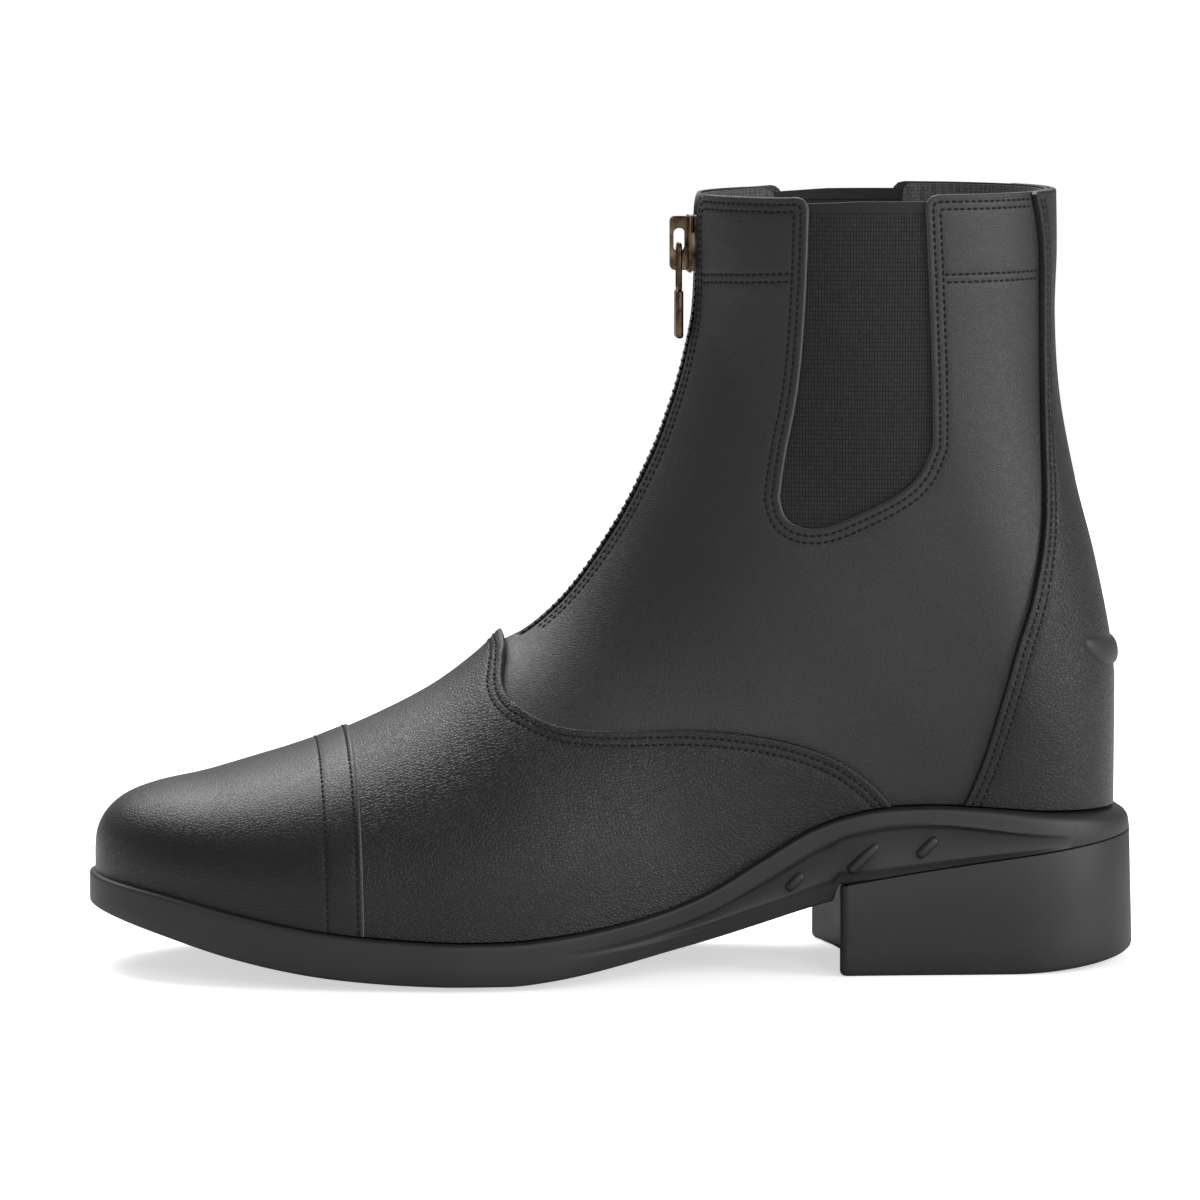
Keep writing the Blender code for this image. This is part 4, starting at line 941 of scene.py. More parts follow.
@dataclass(frozen=True)
class Rubber:
    """Moulded nitrile rubber, with the faint texture of its mould and a satin gloss."""

    name: str
    dark: str = "#1a1a1b"
    light: str = "#202021"
    roughness: tuple[float, float] = (0.50, 0.58)

    def make(self) -> bpy.types.Material:
        """Make the material."""
        made, tree, shader = blank_material(self.name)
        place = add_node(tree, "ShaderNodeTexCoord").outputs["Object"]
        cloud = add_node(tree, "ShaderNodeTexNoise", inputs={
            "Vector": place, "Scale": 60.0, "Detail": 5.0}).outputs["Fac"]
        grit = add_node(tree, "ShaderNodeTexNoise", inputs={
            "Vector": place, "Scale": 1 / (0.7 * MM), "Detail": 2.0}).outputs["Fac"]
        tint = colour_ramp(tree, cloud, ((0.35, self.dark), (0.65, self.light)))
        tree.links.new(tint.outputs["Color"], shader.inputs["Base Color"])
        tree.links.new(spread(tree, cloud, *self.roughness), shader.inputs["Roughness"])
        bump = add_node(tree, "ShaderNodeBump", inputs={
            "Height": grit, "Strength": 0.25, "Distance": 0.05 * MM})
        tree.links.new(bump.outputs["Normal"], shader.inputs["Normal"])
        return made


@dataclass(frozen=True)
class Elastic:
    """Woven elastic: fine upright cords with short cross threads, in rows.

    The threads are drawn at their real pitch of a little over half a millimetre.
    """

    name: str
    thread_mm: float = 0.72
    stitch_mm: float = 1.15
    band_height: float = 0.1989

    def make(self) -> bpy.types.Material:
        """Make the material."""
        made, tree, shader = blank_material(self.name)
        place = add_node(tree, "ShaderNodeTexCoord").outputs["Object"]
        parts = add_node(tree, "ShaderNodeSeparateXYZ", inputs={0: place}).outputs
        flat = add_node(tree, "ShaderNodeCombineXYZ", inputs={"X": parts["Z"], "Y": parts["X"]}).outputs[0]
        weave = add_node(tree, "ShaderNodeTexBrick", {"offset": 0.0, "squash": 1.0}, {
            "Vector": flat, "Color1": (1, 1, 1, 1), "Color2": (0.6, 0.6, 0.6, 1),
            "Mortar": (0, 0, 0, 1), "Scale": 1.0, "Mortar Size": 0.20 * MM, "Mortar Smooth": 0.5,
            "Brick Width": self.stitch_mm * MM, "Row Height": self.thread_mm * MM})
        band = spread(tree, parts["Z"], 0.0, 1.0, self.band_height, self.band_height + 0.3 * MM)
        cords = add_node(tree, "ShaderNodeMix", {"data_type": "RGBA"}, {
            "Factor": band, "A": weave.outputs["Color"], "B": (0.45, 0.45, 0.45, 1)}).outputs["Result"]
        tint = colour_ramp(tree, cords, ((0.0, "#020203"), (1.0, "#2b2b2d")))
        tree.links.new(tint.outputs["Color"], shader.inputs["Base Color"])
        bump = add_node(tree, "ShaderNodeBump", inputs={
            "Height": cords, "Strength": 1.0, "Distance": 0.30 * MM})
        tree.links.new(bump.outputs["Normal"], shader.inputs["Normal"])
        shader.inputs["Roughness"].default_value = 0.72
        shader.inputs["Specular IOR Level"].default_value = 0.35
        shader.inputs["Sheen Weight"].default_value = 0.06
        return made


@dataclass(frozen=True)
class Cloth:
    """Plain woven cloth, matt, with threads too fine to show, drawn a little coarser."""

    name: str
    dark: str = "#141415"
    light: str = "#242425"
    thread_mm: float = 0.6

    def make(self) -> bpy.types.Material:
        """Make the material."""
        made, tree, shader = blank_material(self.name)
        place = add_node(tree, "ShaderNodeTexCoord").outputs["Object"]
        weave = add_node(tree, "ShaderNodeTexVoronoi", inputs={
            "Vector": place, "Scale": 1 / (self.thread_mm * MM), "Randomness": 0.35}).outputs["Distance"]
        tint = colour_ramp(tree, weave, ((0.2, self.light), (0.8, self.dark)))
        tree.links.new(tint.outputs["Color"], shader.inputs["Base Color"])
        bump = add_node(tree, "ShaderNodeBump", inputs={
            "Height": weave, "Strength": 0.5, "Distance": 0.1 * MM})
        tree.links.new(bump.outputs["Normal"], shader.inputs["Normal"])
        shader.inputs["Roughness"].default_value = 0.85
        shader.inputs["Sheen Weight"].default_value = 0.1
        return made


@dataclass(frozen=True)
class Brass:
    """Antiqued brass: darkened in its hollows and rubbed bright where it is handled."""
    # Antiqued brass, darker and brighter in patches at random.

    name: str
    dark: str = "#382b21"
    light: str = "#84705a"
    roughness: tuple[float, float] = (0.25, 0.42)

    def make(self) -> bpy.types.Material:
        """Make the material."""
        made, tree, shader = blank_material(self.name)
        place = add_node(tree, "ShaderNodeTexCoord").outputs["Object"]
        cloud = add_node(tree, "ShaderNodeTexNoise", inputs={
            "Vector": place, "Scale": 1 / (3.0 * MM), "Detail": 5.0}).outputs["Fac"]
        tint = colour_ramp(tree, cloud, ((0.35, self.dark), (0.75, self.light)))
        tree.links.new(tint.outputs["Color"], shader.inputs["Base Color"])
        tree.links.new(spread(tree, cloud, *self.roughness), shader.inputs["Roughness"])
        shader.inputs["Metallic"].default_value = 1.0
        return made


@dataclass(frozen=True)
class Thread:
    """Bonded fibres such as black seam thread, also used for the cut edge of leather painted paler as a
    highlight, matt.
    """

    name: str
    colour: str = "#080809"
    dark: str = "#030304"

    def make(self) -> bpy.types.Material:
        """Make the material."""
        made, tree, shader = blank_material(self.name)
        place = add_node(tree, "ShaderNodeTexCoord").outputs["Object"]
        ply = add_node(tree, "ShaderNodeTexNoise", inputs={
            "Vector": place, "Scale": 1 / (0.3 * MM)}).outputs["Fac"]
        tint = colour_ramp(tree, ply, ((0.3, self.dark), (0.8, self.colour)))
        tree.links.new(tint.outputs["Color"], shader.inputs["Base Color"])
        shader.inputs["Roughness"].default_value = 0.7
        shader.inputs["Specular IOR Level"].default_value = 0.3
        return made


@dataclass
class Finishes:
    """All materials of the boot."""

    quarter: bpy.types.Material = None
    grain: bpy.types.Material = None
    cap: bpy.types.Material = None
    painted_edge_highlight: bpy.types.Material = None
    rubber: bpy.types.Material = None
    heel: bpy.types.Material = None
    elastic: bpy.types.Material = None
    lining: bpy.types.Material = None
    tape: bpy.types.Material = None
    teeth: bpy.types.Material = None
    brass: bpy.types.Material = None
    thread: bpy.types.Material = None

    def __post_init__(self) -> None:
        """Make each finish once."""
        self.quarter = Leather("smooth_quarter_leather", pebble_mm=0.75, pebble_height=0.045, gloss=0.56,
                               roughness=(0.46, 0.56)).make()
        self.grain = Leather("pebbled_vamp_leather", pebble_mm=0.95, pebble_height=0.07,
                             roughness=(0.38, 0.46), gloss=0.36).make()
        self.cap = Leather("pebbled_cap_leather", pebble_mm=0.90, pebble_height=0.05,
                           roughness=(0.36, 0.44), gloss=0.36).make()
        # Paler grey for the cut edges, a painted highlight.
        self.painted_edge_highlight = Thread("cut_edge_painted_highlight", "#5c5c5e", "#48484a").make()
        self.rubber = Rubber("moulded_sole_rubber").make()
        self.heel = Rubber("moulded_heel_rubber", roughness=(0.52, 0.60)).make()
        self.elastic = Elastic("woven_gore_elastic").make()
        self.lining = Cloth("knitted_lining_cloth", "#38383a", "#666668", 0.9).make()
        self.tape = Cloth("woven_zip_tape", "#0e0e0f", "#1d1d1e", 0.5).make()
        self.teeth = Brass("blackened_zip_teeth", "#1d1b1a", "#4a443d").make()
        self.brass = Brass("antiqued_brass").make()
        self.thread = Thread("bonded_seam_thread").make()


@dataclass
class Upper:
    """Quarters, vamp, toe cap, counter, gores, lining and their stitches."""

    last: Last
    finishes: Finishes
    slot_width: float = 8.0 * MM
    leather: float = 1.2 * MM
    cap_leather: float = 1.9 * MM
    corner: float = 3.5 * MM
    zip_corner: float = 6.0 * MM
    front_drop: float = 0.9 * MM
    stitch_rows: tuple[float, float] = (2.0 * MM, 3.9 * MM)
    quarter_rows: tuple[float, float] = (1.9 * MM, 3.8 * MM)
    cap_rows: tuple[float, float] = (1.5 * MM, 9.2 * MM)
    collar_clear: float = 1.2 * MM
    elastic_depth: float = 2.0 * MM
    # places and heights as shares of the sole's length and the boot's height
    vamp_edge: tuple = (
        (-0.0990, 0.5000), (-0.1020, 0.4250), (-0.1075, 0.3870), (-0.1090, 0.3700), (-0.1050, 0.3540),
        (-0.0920, 0.3390), (-0.0700, 0.3250), (-0.0450, 0.3180), (0.0000, 0.3160), (0.0600, 0.3180),
        (0.1100, 0.3130), (0.1550, 0.3020), (0.1950, 0.2830), (0.2220, 0.2610), (0.2430, 0.2360),
        (0.2580, 0.2080), (0.2700, 0.1700),
    )
    counter_edge: tuple = (
        (0.2960, 0.1500), (0.3180, 0.2050), (0.3380, 0.2700), (0.3560, 0.3500), (0.3700, 0.4200),
        (0.3860, 0.4900), (0.3975, 0.5800), (0.3985, 0.7000), (0.3985, 0.8500), (0.3960, 0.9400),
        (0.3870, 1.0000), (0.3800, 1.0400),
    )
    # height, front, rear
    gore_sides: tuple = (
        (0.560, 0.1460, 0.2900), (0.600, 0.1465, 0.2900), (0.660, 0.1520, 0.2900),
        (0.755, 0.1640, 0.2895), (0.870, 0.1695, 0.2860), (1.000, 0.1720, 0.2810), (1.060, 0.1735, 0.2790),
    )
    # across, height
    gore_foot: tuple = (
        (0.00, 0.6120), (0.03, 0.5930), (0.10, 0.5790), (0.22, 0.5740), (0.36, 0.5790),
        (0.60, 0.6000), (0.80, 0.6220), (0.92, 0.6450), (1.00, 0.6800),
    )
    cap_edge: float = -0.2490
    band_heights: tuple[float, float] = (0.1812, 0.1832)
    band_slope: float = 0.07
    band_bend: float = 0.045

    def __post_init__(self) -> None:
        """Work out the edges of all pieces."""
        s = self.last.sizes
        scale = np.array([s.sole_length, s.boot_height])
        self.vamp_line = rounded_line(np.array(self.vamp_edge) * scale, 5)
        self.counter_line = rounded_line(np.array(self.counter_edge) * scale, 6)
        self.gore_line = self.gore_outline()
        self.cap_row = self.last.row_on_ridge(self.cap_edge * s.sole_length)
        self.zip_foot = float(self.last.ends(np.array([10.0]))[0][0, 1]) + 1.8 * MM
        self.vamp = Edge(self.last, lambda p, row, around: side_gap(self.vamp_line, p[:, 0], p[:, 2]))
        self.counter = Edge(self.last, lambda p, row, around: side_gap(self.counter_line, p[:, 0], p[:, 2]))
        self.gore = Edge(self.last, lambda p, row, around: side_gap(self.gore_line, p[:, 0], p[:, 2]))
        self.collar = Edge(self.last, lambda p, row, around: (
            s.boot_height - 0.2 * MM - p[:, 2] - self.front_drop * np.clip((0.06 - p[:, 0]) / 0.02, 0, 1)))
        self.cap = Edge(self.last, lambda p, row, around: (self.cap_row - row) * 10 * MM)
        self.slot = Edge(self.last, self.slot_gap)
        self.band = Edge(self.last, lambda p, row, around: (
            p[:, 2] - 0.1 * s.boot_height - self.band_slope * np.minimum(p[:, 0] - self.band_bend, 0)))

    def gore_outline(self) -> Array:
        """Outline of a gore in the side view, down its front, along its foot and up its rear."""
        s = self.last.sizes
        sides, foot = np.array(self.gore_sides), np.array(self.gore_foot)
        down = np.linspace(1.06, foot[0, 1], 14)[:-1]
        up = np.linspace(foot[-1, 1], 1.06, 14)[1:]
        across = np.linspace(0, 1, 31)
        height = read_table(foot[:, 0], foot[:, 1], across)
        front = read_table(sides[:, 0], sides[:, 1], height)
        rear = read_table(sides[:, 0], sides[:, 2], height)
        parts = [
            np.stack([read_table(sides[:, 0], sides[:, 1], down), down], 1),
            np.stack([front + (rear - front) * across, height], 1),
            np.stack([read_table(sides[:, 0], sides[:, 2], up), up], 1),
        ]
        return np.concatenate(parts) * np.array([s.sole_length, s.boot_height])

    def slot_gap(self, points: Array, row: Array, around: Array) -> Array:
        """Distance from the front slot, positive on the leather."""
        centre = self.last.sections(row)[:, 10] * self.last.sizes.sole_width
        side = np.abs(points[:, 1] - centre) - self.slot_width / 2
        gap = np.maximum(side, self.zip_foot - points[:, 2])
        return np.where(np.abs(around) > 0.5, np.maximum(gap, 8 * MM), gap)

    def quarter_distance(self, row: Array, around: Array) -> Array:
        """Distance inside the quarters' outline."""
        collar = self.collar.distance(row, around)
        beside_zip = round_meet(collar, self.slot.distance(row, around), self.zip_corner)
        return np.minimum(beside_zip, round_meet(collar, self.gore.distance(row, around), self.corner))

    def lining_distance(self, row: Array, around: Array) -> Array:
        """Distance inside the lining's outline, a little back from the leather's."""
        holes = np.minimum(self.slot.distance(row, around), self.gore.distance(row, around) - 2.5 * MM)
        return np.minimum(self.collar.distance(row, around) - 0.6 * MM, holes - 0.5 * MM)

    def gore_distance(self, row: Array, around: Array) -> Array:
        """Distance inside the gore's outline, which runs on under the leather."""
        inside = 3.0 * MM - self.gore.distance(row, around)
        return np.minimum(inside, self.collar.distance(row, around) - 1.8 * MM)

    def vamp_lift(self, row: Array, around: Array) -> Array:
        """Lift of the vamp's peak, where it stands up against the zip."""
        near = np.clip(1 - self.vamp.distance(row, around) / (9 * MM), 0, 1) ** 2
        ridge = np.clip(1 - np.abs(around) / 0.30, 0, 1)
        return 1.3 * MM * near * ridge * ridge * (3 - 2 * ridge)

    def seams(self) -> dict[str, tuple[Seam, ...]]:
        """Seams of each leather piece, by the piece's name."""
        top = self.last.sizes.boot_height
        band_rows = tuple(height - 0.1 * top for height in self.band_heights)
        all_round = (-0.999, 0.999)
        return {
            "quarters": (
                Seam(Outline(self.quarter_distance), self.quarter_rows, (10.2, 25), all_round,
                     self.on_outline),
                Seam(self.band, band_rows, (20, 25), all_round, self.on_band),
            ),
            "vamp": (
                Seam(self.vamp, self.stitch_rows, (8.5, 15), all_round, lambda p: p[:, 2] > 0),
            ),
            "toe_cap": (
                Seam(self.cap, self.cap_rows, (5.5, self.cap_row), all_round, lambda p: p[:, 2] > 0),
            ),
            "counter": tuple(
                Seam(self.counter, self.stitch_rows, (12, 25), side,
                     lambda p: p[:, 2] < top - self.collar_clear)
                for side in ((-0.999, -0.4), (0.4, 0.999))),
        }

    def on_outline(self, points: Array) -> Array:
        """Whether points of the quarters' outline lie clear of the vamp and the counter."""
        x, z = points[:, 0], points[:, 2]
        return (z > self.zip_foot + 2 * MM) & (side_gap(self.counter_line, x, z) < -0.5 * MM)

    def on_band(self, points: Array) -> Array:
        """Whether points of the collar band lie clear of the other seams."""
        x, z = points[:, 0], points[:, 2]
        clear_gore = side_gap(self.gore_line, x, z) > 3.8 * MM
        clear_counter = side_gap(self.counter_line, x, z) < -0.5 * MM
        clear_slot = np.abs(points[:, 1]) > self.slot_width / 2 + 3.8 * MM
        return clear_gore & clear_counter & (clear_slot | (x > 0.05)) & (z > 0.15)

    def build(self) -> None:
        """Build every piece of the upper."""
        f, last, s = self.finishes, self.last, self.last.sizes
        seams = self.seams()
        lap, leather = s.lap_gap, self.leather
        all_round = ((-1, 1),)
        panels = [
            (Panel("quarters", last, (9, 25), all_round, (150, 176), self.quarter_distance,
                   -leather, 0.0, seams["quarters"], painted_edge_highlight=True),
             f.quarter, "quarter_leather", ("upper",)),
            (Panel("lining", last, (0.5, 25), all_round, (110, 90), self.lining_distance,
                   -s.wall, -leather - 0.05 * MM, rim=0.2 * MM),
             f.lining, "quarter_leather", ()),
            (Panel("vamp_leather", last, (self.cap_row - 0.4, 15.5), all_round, (96, 150),
                   self.vamp.distance, 0.2 * MM, lap + leather, seams["vamp"], lift=self.vamp_lift),
             f.grain, "grained_leather", ("vamp",)),
            (Panel("cap_leather", last, (0, self.cap_row + 0.3), all_round, (84, 150),
                   self.cap.distance, lap, lap + self.cap_leather, seams["toe_cap"],
                   rim=0.9 * MM, painted_edge_highlight=True),
             f.cap, "cap_leather", ("toe_cap",)),
            (Panel("back_leather", last, (12, 25), ((-1, -0.35), (0.35, 1)), (120, 70),
                   self.counter_distance, 0.1 * MM, lap + leather, seams["counter"]),
             f.grain, "counter_leather", ("counter",)),
        ]
        for name, node, side in (("outer_elastic", "gore_outer", (-0.85, -0.06)),
                                 ("inner_elastic", "gore_inner", (0.06, 0.85))):
            panels.append((
                Panel(name, last, (13, 25), (side,), (110, 80), self.gore_distance,
                      -self.elastic_depth, -leather - 0.03 * MM, rim=0.3 * MM),
                f.elastic, "gore_elastic", (node,)))
        sewing = Stitching(last)
        for panel, finish, slot, replaced in panels:
            second = f.painted_edge_highlight if panel.painted_edge_highlight else None
            add_piece(panel.name, panel.build(), finish, replaced=replaced, second=second)
            if panel.seams:
                sewing.build(panel.name + "_stitches", panel.seams, panel.top_offset, f.thread, slot)

    def counter_distance(self, row: Array, around: Array) -> Array:
        """Distance inside the counter's outline."""
        return np.minimum(self.counter.distance(row, around), self.collar.distance(row, around))


@dataclass
class SoleUnit:
    """Outsole with its ribs, pills and lugs, and the heel block."""

    sole: Sole
    finishes: Finishes
    lip: float = 0.9 * MM
    step: float = 1.2 * MM
    lean: float = 3.5 * MM
    shoulder: float = 1.8 * MM
    blend: float = 30.0 * MM
    breast_hollow: float = 5.0 * MM
    heel_rise: float = 3.2 * MM
    heel_rise_length: float = 36.0 * MM
    heel_lean: float = 1.0 * MM
    hair: float = 0.01 * MM
    run_in: float = 2.5 * MM
    seam_lip: float = 0.22
    steps_round: int = 420
    # place, arch_rib, low_rib, depth
    waist_rows: tuple = (
        (0.440, 0.62, 0.50, 0.0), (0.500, 0.56, 0.42, 0.3), (0.560, 0.56, 0.34, 0.8),
        (0.620, 0.60, 0.26, 1.0), (0.690, 0.68, 0.17, 1.0), (0.750, 0.71, 0.08, 1.0),
        (0.810, 0.66, 0.06, 1.0), (0.870, 0.50, 0.05, 0.8), (0.930, 0.30, 0.04, 0.0),
    )
    # place, height, length
    pills: tuple = ((0.662, 0.42, 0.022), (0.727, 0.33, 0.038), (0.787, 0.36, 0.026))
    lug_count: int = 9
    lug_inset: float = 11.0 * MM
    lug_length: float = 8.5 * MM
    lug_pitch: float = 12.2 * MM

    def perimeter(self, low: float, high: float, corner: float = 0.0) -> tuple[Array, Array]:
        """Even points round the sole's outline between two places, with inward directions.

        Args:
            low: Front place.
            high: Back place.
            corner: Radius of the corners of a straight front.

        Returns:
            Points and inward unit vectors in plan.
        """
        t = np.linspace(0, math.pi, 1200)
        x = low + (high - low) * (1 - np.cos(t)) / 2
        half, swing = self.sole.half_and_swing(x)
        if corner > 0:
            ahead = np.clip((x - low) / corner, 0, 1)
            half = half - corner + corner * np.sqrt(1 - (1 - ahead) ** 2)
        half[-1] = 0.0
        left = np.stack([x, swing - half], 1)
        right = np.stack([x, swing + half], 1)[::-1]
        loop = np.concatenate([left, right[1:]])
        if corner > 0:
            loop = np.concatenate([loop, loop[:1]])
        run = np.concatenate([[0], np.cumsum(np.linalg.norm(np.diff(loop, axis=0), axis=1))])
        at = np.linspace(0, run[-1], self.steps_round + 1)
        points = np.stack([np.interp(at, run, loop[:, k]) for k in (0, 1)], 1)
        ring = points[:-1]
        along = np.roll(ring, -1, axis=0) - np.roll(ring, 1, axis=0)
        along /= np.linalg.norm(along, axis=1, keepdims=True)
        inward = np.stack([-along[:, 1], along[:, 0]], 1)
        centre = ring.mean(axis=0)
        if ((centre - ring) * inward).sum() < 0:
            inward = -inward
        return points, np.concatenate([inward, inward[:1]])

    def waist_share(self, x: Array) -> Array:
        """How much the side leans in, 1 in the waist."""
        place, breast = self.sole.place(x), self.sole.place(self.sole.breast)
        rise = np.clip((place - 0.42) / 0.14, 0, 1)
        fall = np.clip((breast + 0.04 - place) / 0.06, 0, 1)
        return rise * rise * (3 - 2 * rise) * fall * fall * (3 - 2 * fall)

    def rear_share(self, x: Array) -> Array:
        """How far round the heel's back a place is, 1 at the back."""
        return np.clip((self.sole.place(x) - 0.86) / 0.12, 0, 1)

    def side_levels(self, x: Array) -> list[tuple[Array, Array]]:
        """Insets and heights of the sole's side, from its top to its underside.

        The underside runs a little way into the heel block, which hides its step up to the seam.

        Args:
            x: Places along the sole.

        Returns:
            Inset and height of each ring at the places.
        """
        breast = self.sole.breast
        top, low, place = self.sole.top(x), self.sole.underside(x), self.sole.place(x)
        ahead = self.sole.underside(np.minimum(x, breast - self.hair))
        behind = self.sole.underside(np.maximum(x, breast + self.hair))
        low = np.where((x > breast) & (x < breast + self.run_in), ahead, low)
        tall = top - low
        seat = np.clip((place - 0.80) / 0.12, 0, 1)
        lip = self.lip * (1 + 1.9 * seat * seat * (3 - 2 * seat))
        foot = self.lip * np.where(x > breast, self.seam_lip, 1.0)
        shoulder = self.shoulder * self.rear_share(x)
        table = np.array(self.waist_rows)
        within = (place > table[0, 0]) & (place < table[-1, 0])
        arch = np.where(within, read_table(table[:, 0], table[:, 1], place), 0.62)
        rib = np.where(within, read_table(table[:, 0], table[:, 2], place), 0.50)
        depth = np.where(within, np.maximum(read_table(table[:, 0], table[:, 3], place), 0), 0) * self.step
        zero = np.zeros_like(x)
        shares = ((0.0, arch + 0.20), (-0.25, arch + 0.09), (-0.3, arch + 0.05), (0.1, arch + 0.02),
                  (0.8, arch - 0.02), (1.0, arch - 0.05), (1.0, (arch + rib) / 2), (1.0, rib + 0.06),
                  (0.8, rib + 0.04), (0.1, rib), (-0.25, rib - 0.03), (0.0, rib - 0.09))
        levels = [(zero + 9 * MM, top), (zero + 2.2 * lip, top), (zero + 1.1 * lip, top - 0.04 * lip),
                  (zero + 0.45 * lip, top - 0.25 * lip), (zero + 0.1 * lip, top - 0.62 * lip),
                  (zero, top - lip)]
        turn = np.clip((x - breast) / self.blend + 0.5, 0, 1)
        base = ahead + (behind - ahead) * turn * turn * (3 - 2 * turn)
        for part, share in shares:
            height = np.clip(base + share * (top - base), low + 0.9 * foot, top - lip * 1.02)
            levels.append((depth * part, height))
        levels += [(zero, low + 0.85 * foot), (zero + 0.14 * foot, low + 0.45 * foot),
                   (zero + 0.5 * foot, low + 0.13 * foot), (zero + foot, low), (zero + 9 * MM, low)]
        lean = self.waist_share(x) * self.lean / tall
        rear_lean = self.heel_lean * self.rear_share(x)
        return [(inset + lean * (top - height) + shoulder * ((height - low) / tall) ** 2 + rear_lean,
                 height) for inset, height in levels]

    def wall(self, points: Array, inward: Array, levels: list[tuple[Array, Array]],
             low: float, high: float) -> bmesh.types.BMesh:
        """Closed solid through rings at the levels, closed over its middle line.

        Args:
            points: Even points round the outline, the first again at the end.
            inward: Inward directions.
            levels: Inset and height of each ring at the points.
            low: Front end of the middle line.
            high: Back end of the middle line.

        Returns:
            The solid.
        """
        rings = [np.column_stack([points + inward * inset[:, None], height]) for inset, height in levels]
        middle_x = np.clip(points[:, 0], low, high)
        swing = self.sole.half_and_swing(middle_x)[1]
        for at, source in ((0, rings[0]), (len(rings) + 1, rings[-1])):
            rings.insert(at, np.column_stack([middle_x, swing, source[:, 2]]))
        stack = np.stack(rings, axis=1)
        mesh = new_grid(self.steps_round, len(rings) - 1, (0, 0), (self.steps_round, len(rings) - 1))
        u, v = params_of(mesh)
        move_to(mesh, stack[np.rint(u).astype(int), np.rint(v).astype(int)])
        bmesh.ops.remove_doubles(mesh, verts=mesh.verts, dist=1e-5)
        bmesh.ops.dissolve_degenerate(mesh, dist=1e-6, edges=mesh.edges)
        return mesh

    def build(self) -> None:
        """Build the outsole and the heel."""
        s = self.sole.sizes
        toe, back = -s.sole_length / 2, s.sole_length / 2
        points, inward = self.perimeter(toe, back)
        mesh = self.wall(points, inward, self.side_levels(points[:, 0]), toe + 12 * MM, back - 12 * MM)
        spare = bpy.data.meshes.new("spare")
        for part in self.lugs() + self.pill_solids():
            part.to_mesh(spare)
            part.free()
            mesh.from_mesh(spare)
        bpy.data.meshes.remove(spare)
        add_piece("outsole_unit", mesh, self.finishes.rubber,
                  replaced=("outsole",), angle=50)
        self.build_heel()

    def lugs(self) -> list[bmesh.types.BMesh]:
        """Bars of the forefoot tread."""
        made = []
        s = self.sole.sizes
        for index in range(self.lug_count):
            front = -s.sole_length / 2 + self.lug_inset * 1.6 + index * self.lug_pitch
            mesh = bmesh.new()
            bmesh.ops.create_cube(mesh, size=1.0)
            long_edges = [e for e in mesh.edges if abs((e.verts[0].co - e.verts[1].co).x) > 0.5]
            bmesh.ops.subdivide_edges(mesh, edges=long_edges, cuts=4, use_grid_fill=True)
            co = np.array([v.co for v in mesh.verts])
            x = front + (co[:, 0] + 0.5) * self.lug_length
            half, swing = self.sole.half_and_swing(x)
            half = half - self.lug_inset * np.minimum(half / 0.02, 1)
            low = self.sole.underside(x)
            z = np.where(co[:, 2] < 0, low - s.lug_depth, low + s.lug_depth / 2)
            move_to(mesh, np.column_stack([x, swing + 2 * co[:, 1] * half, z]))
            rim = [e for e in mesh.edges if e.calc_face_angle(0) > 1.0 and
                   (e.verts[0].co.z + e.verts[1].co.z) / 2 < low.mean()]
            bmesh.ops.bevel(mesh, geom=rim, offset=0.4 * MM, segments=2, profile=0.5,
                            affect="EDGES", material=-1)
            made.append(mesh)
        return made

    def pill_solids(self) -> list[bmesh.types.BMesh]:
        """Raised slanted pills on both sides of the waist."""
        made = []
        s = self.sole.sizes
        for side in (-1, 1):
            for place, share, length in self.pills:
                x = np.array([(place - 0.5) * s.sole_length])
                low, high = self.sole.underside(x)[0], self.sole.top(x)[0]
                half, swing = self.sole.half_and_swing(x)
                z = low + (high - low) * share
                lean = self.waist_share(x)[0] * self.lean * (high - z) / (high - low)
                centre = Vector((x[0], swing[0] + side * (half[0] - lean - self.step - 0.3 * MM), z))
                mesh = bmesh.new()
                bmesh.ops.create_uvsphere(mesh, u_segments=16, v_segments=12, radius=1.5 * MM)
                stretch = length * s.sole_length / 2 - 1.5 * MM
                for vert in mesh.verts:
                    vert.co.z += math.copysign(stretch, vert.co.z) if abs(vert.co.z) > 1e-7 else 0
                turn = Matrix.Rotation(math.radians(46), 4, "Y")
                bmesh.ops.transform(mesh, matrix=Matrix.Translation(centre) @ turn, verts=mesh.verts)
                made.append(mesh)
        return made

    def build_heel(self) -> None:
        """Build the heel block, with its hollow breast and its foot rising a little at the back."""
        s, lip = self.sole.sizes, 1.6 * MM
        breast, back = self.sole.breast, s.sole_length / 2
        points, inward = self.perimeter(breast, back, corner=2.0 * MM)
        x = points[:, 0]
        zero = np.zeros_like(x)
        seam = self.sole.seam(x) - s.gap
        rise = self.heel_rise * np.clip(1 - (back - x) / self.heel_rise_length, 0, 1) ** 1.7
        half, swing = self.sole.half_and_swing(np.maximum(x, breast + self.hair))
        front = np.clip(1 - (x - breast) / (0.5 * MM), 0, 1)
        across = np.clip((points[:, 1] - swing) / (half - 2 * MM), -1, 1)
        points = points + np.column_stack([front * self.breast_hollow * (1 - across * across), zero])
        levels = [(zero + 10 * MM, seam), (zero + 0.25 * MM, seam), (zero + 0.07 * MM, seam - 0.07 * MM),
                  (zero, seam - 0.25 * MM), (zero, rise + 0.6 * (seam - rise)),
                  (zero, rise + 0.25 * (seam - rise)), (zero, rise + lip),
                  (zero + 0.14 * lip, rise + 0.45 * lip), (zero + 0.5 * lip, rise + 0.12 * lip),
                  (zero + lip, rise), (zero + 10 * MM, 0.4 * rise)]
        lean = self.heel_lean * self.rear_share(x)
        levels = [(inset + lean * height / seam, height) for inset, height in levels]
        mesh = self.wall(points, inward, levels, breast + 12 * MM, back - 14 * MM)
        add_piece("heel_block_rubber", mesh, self.finishes.heel,
                  replaced=("heel",), angle=50)


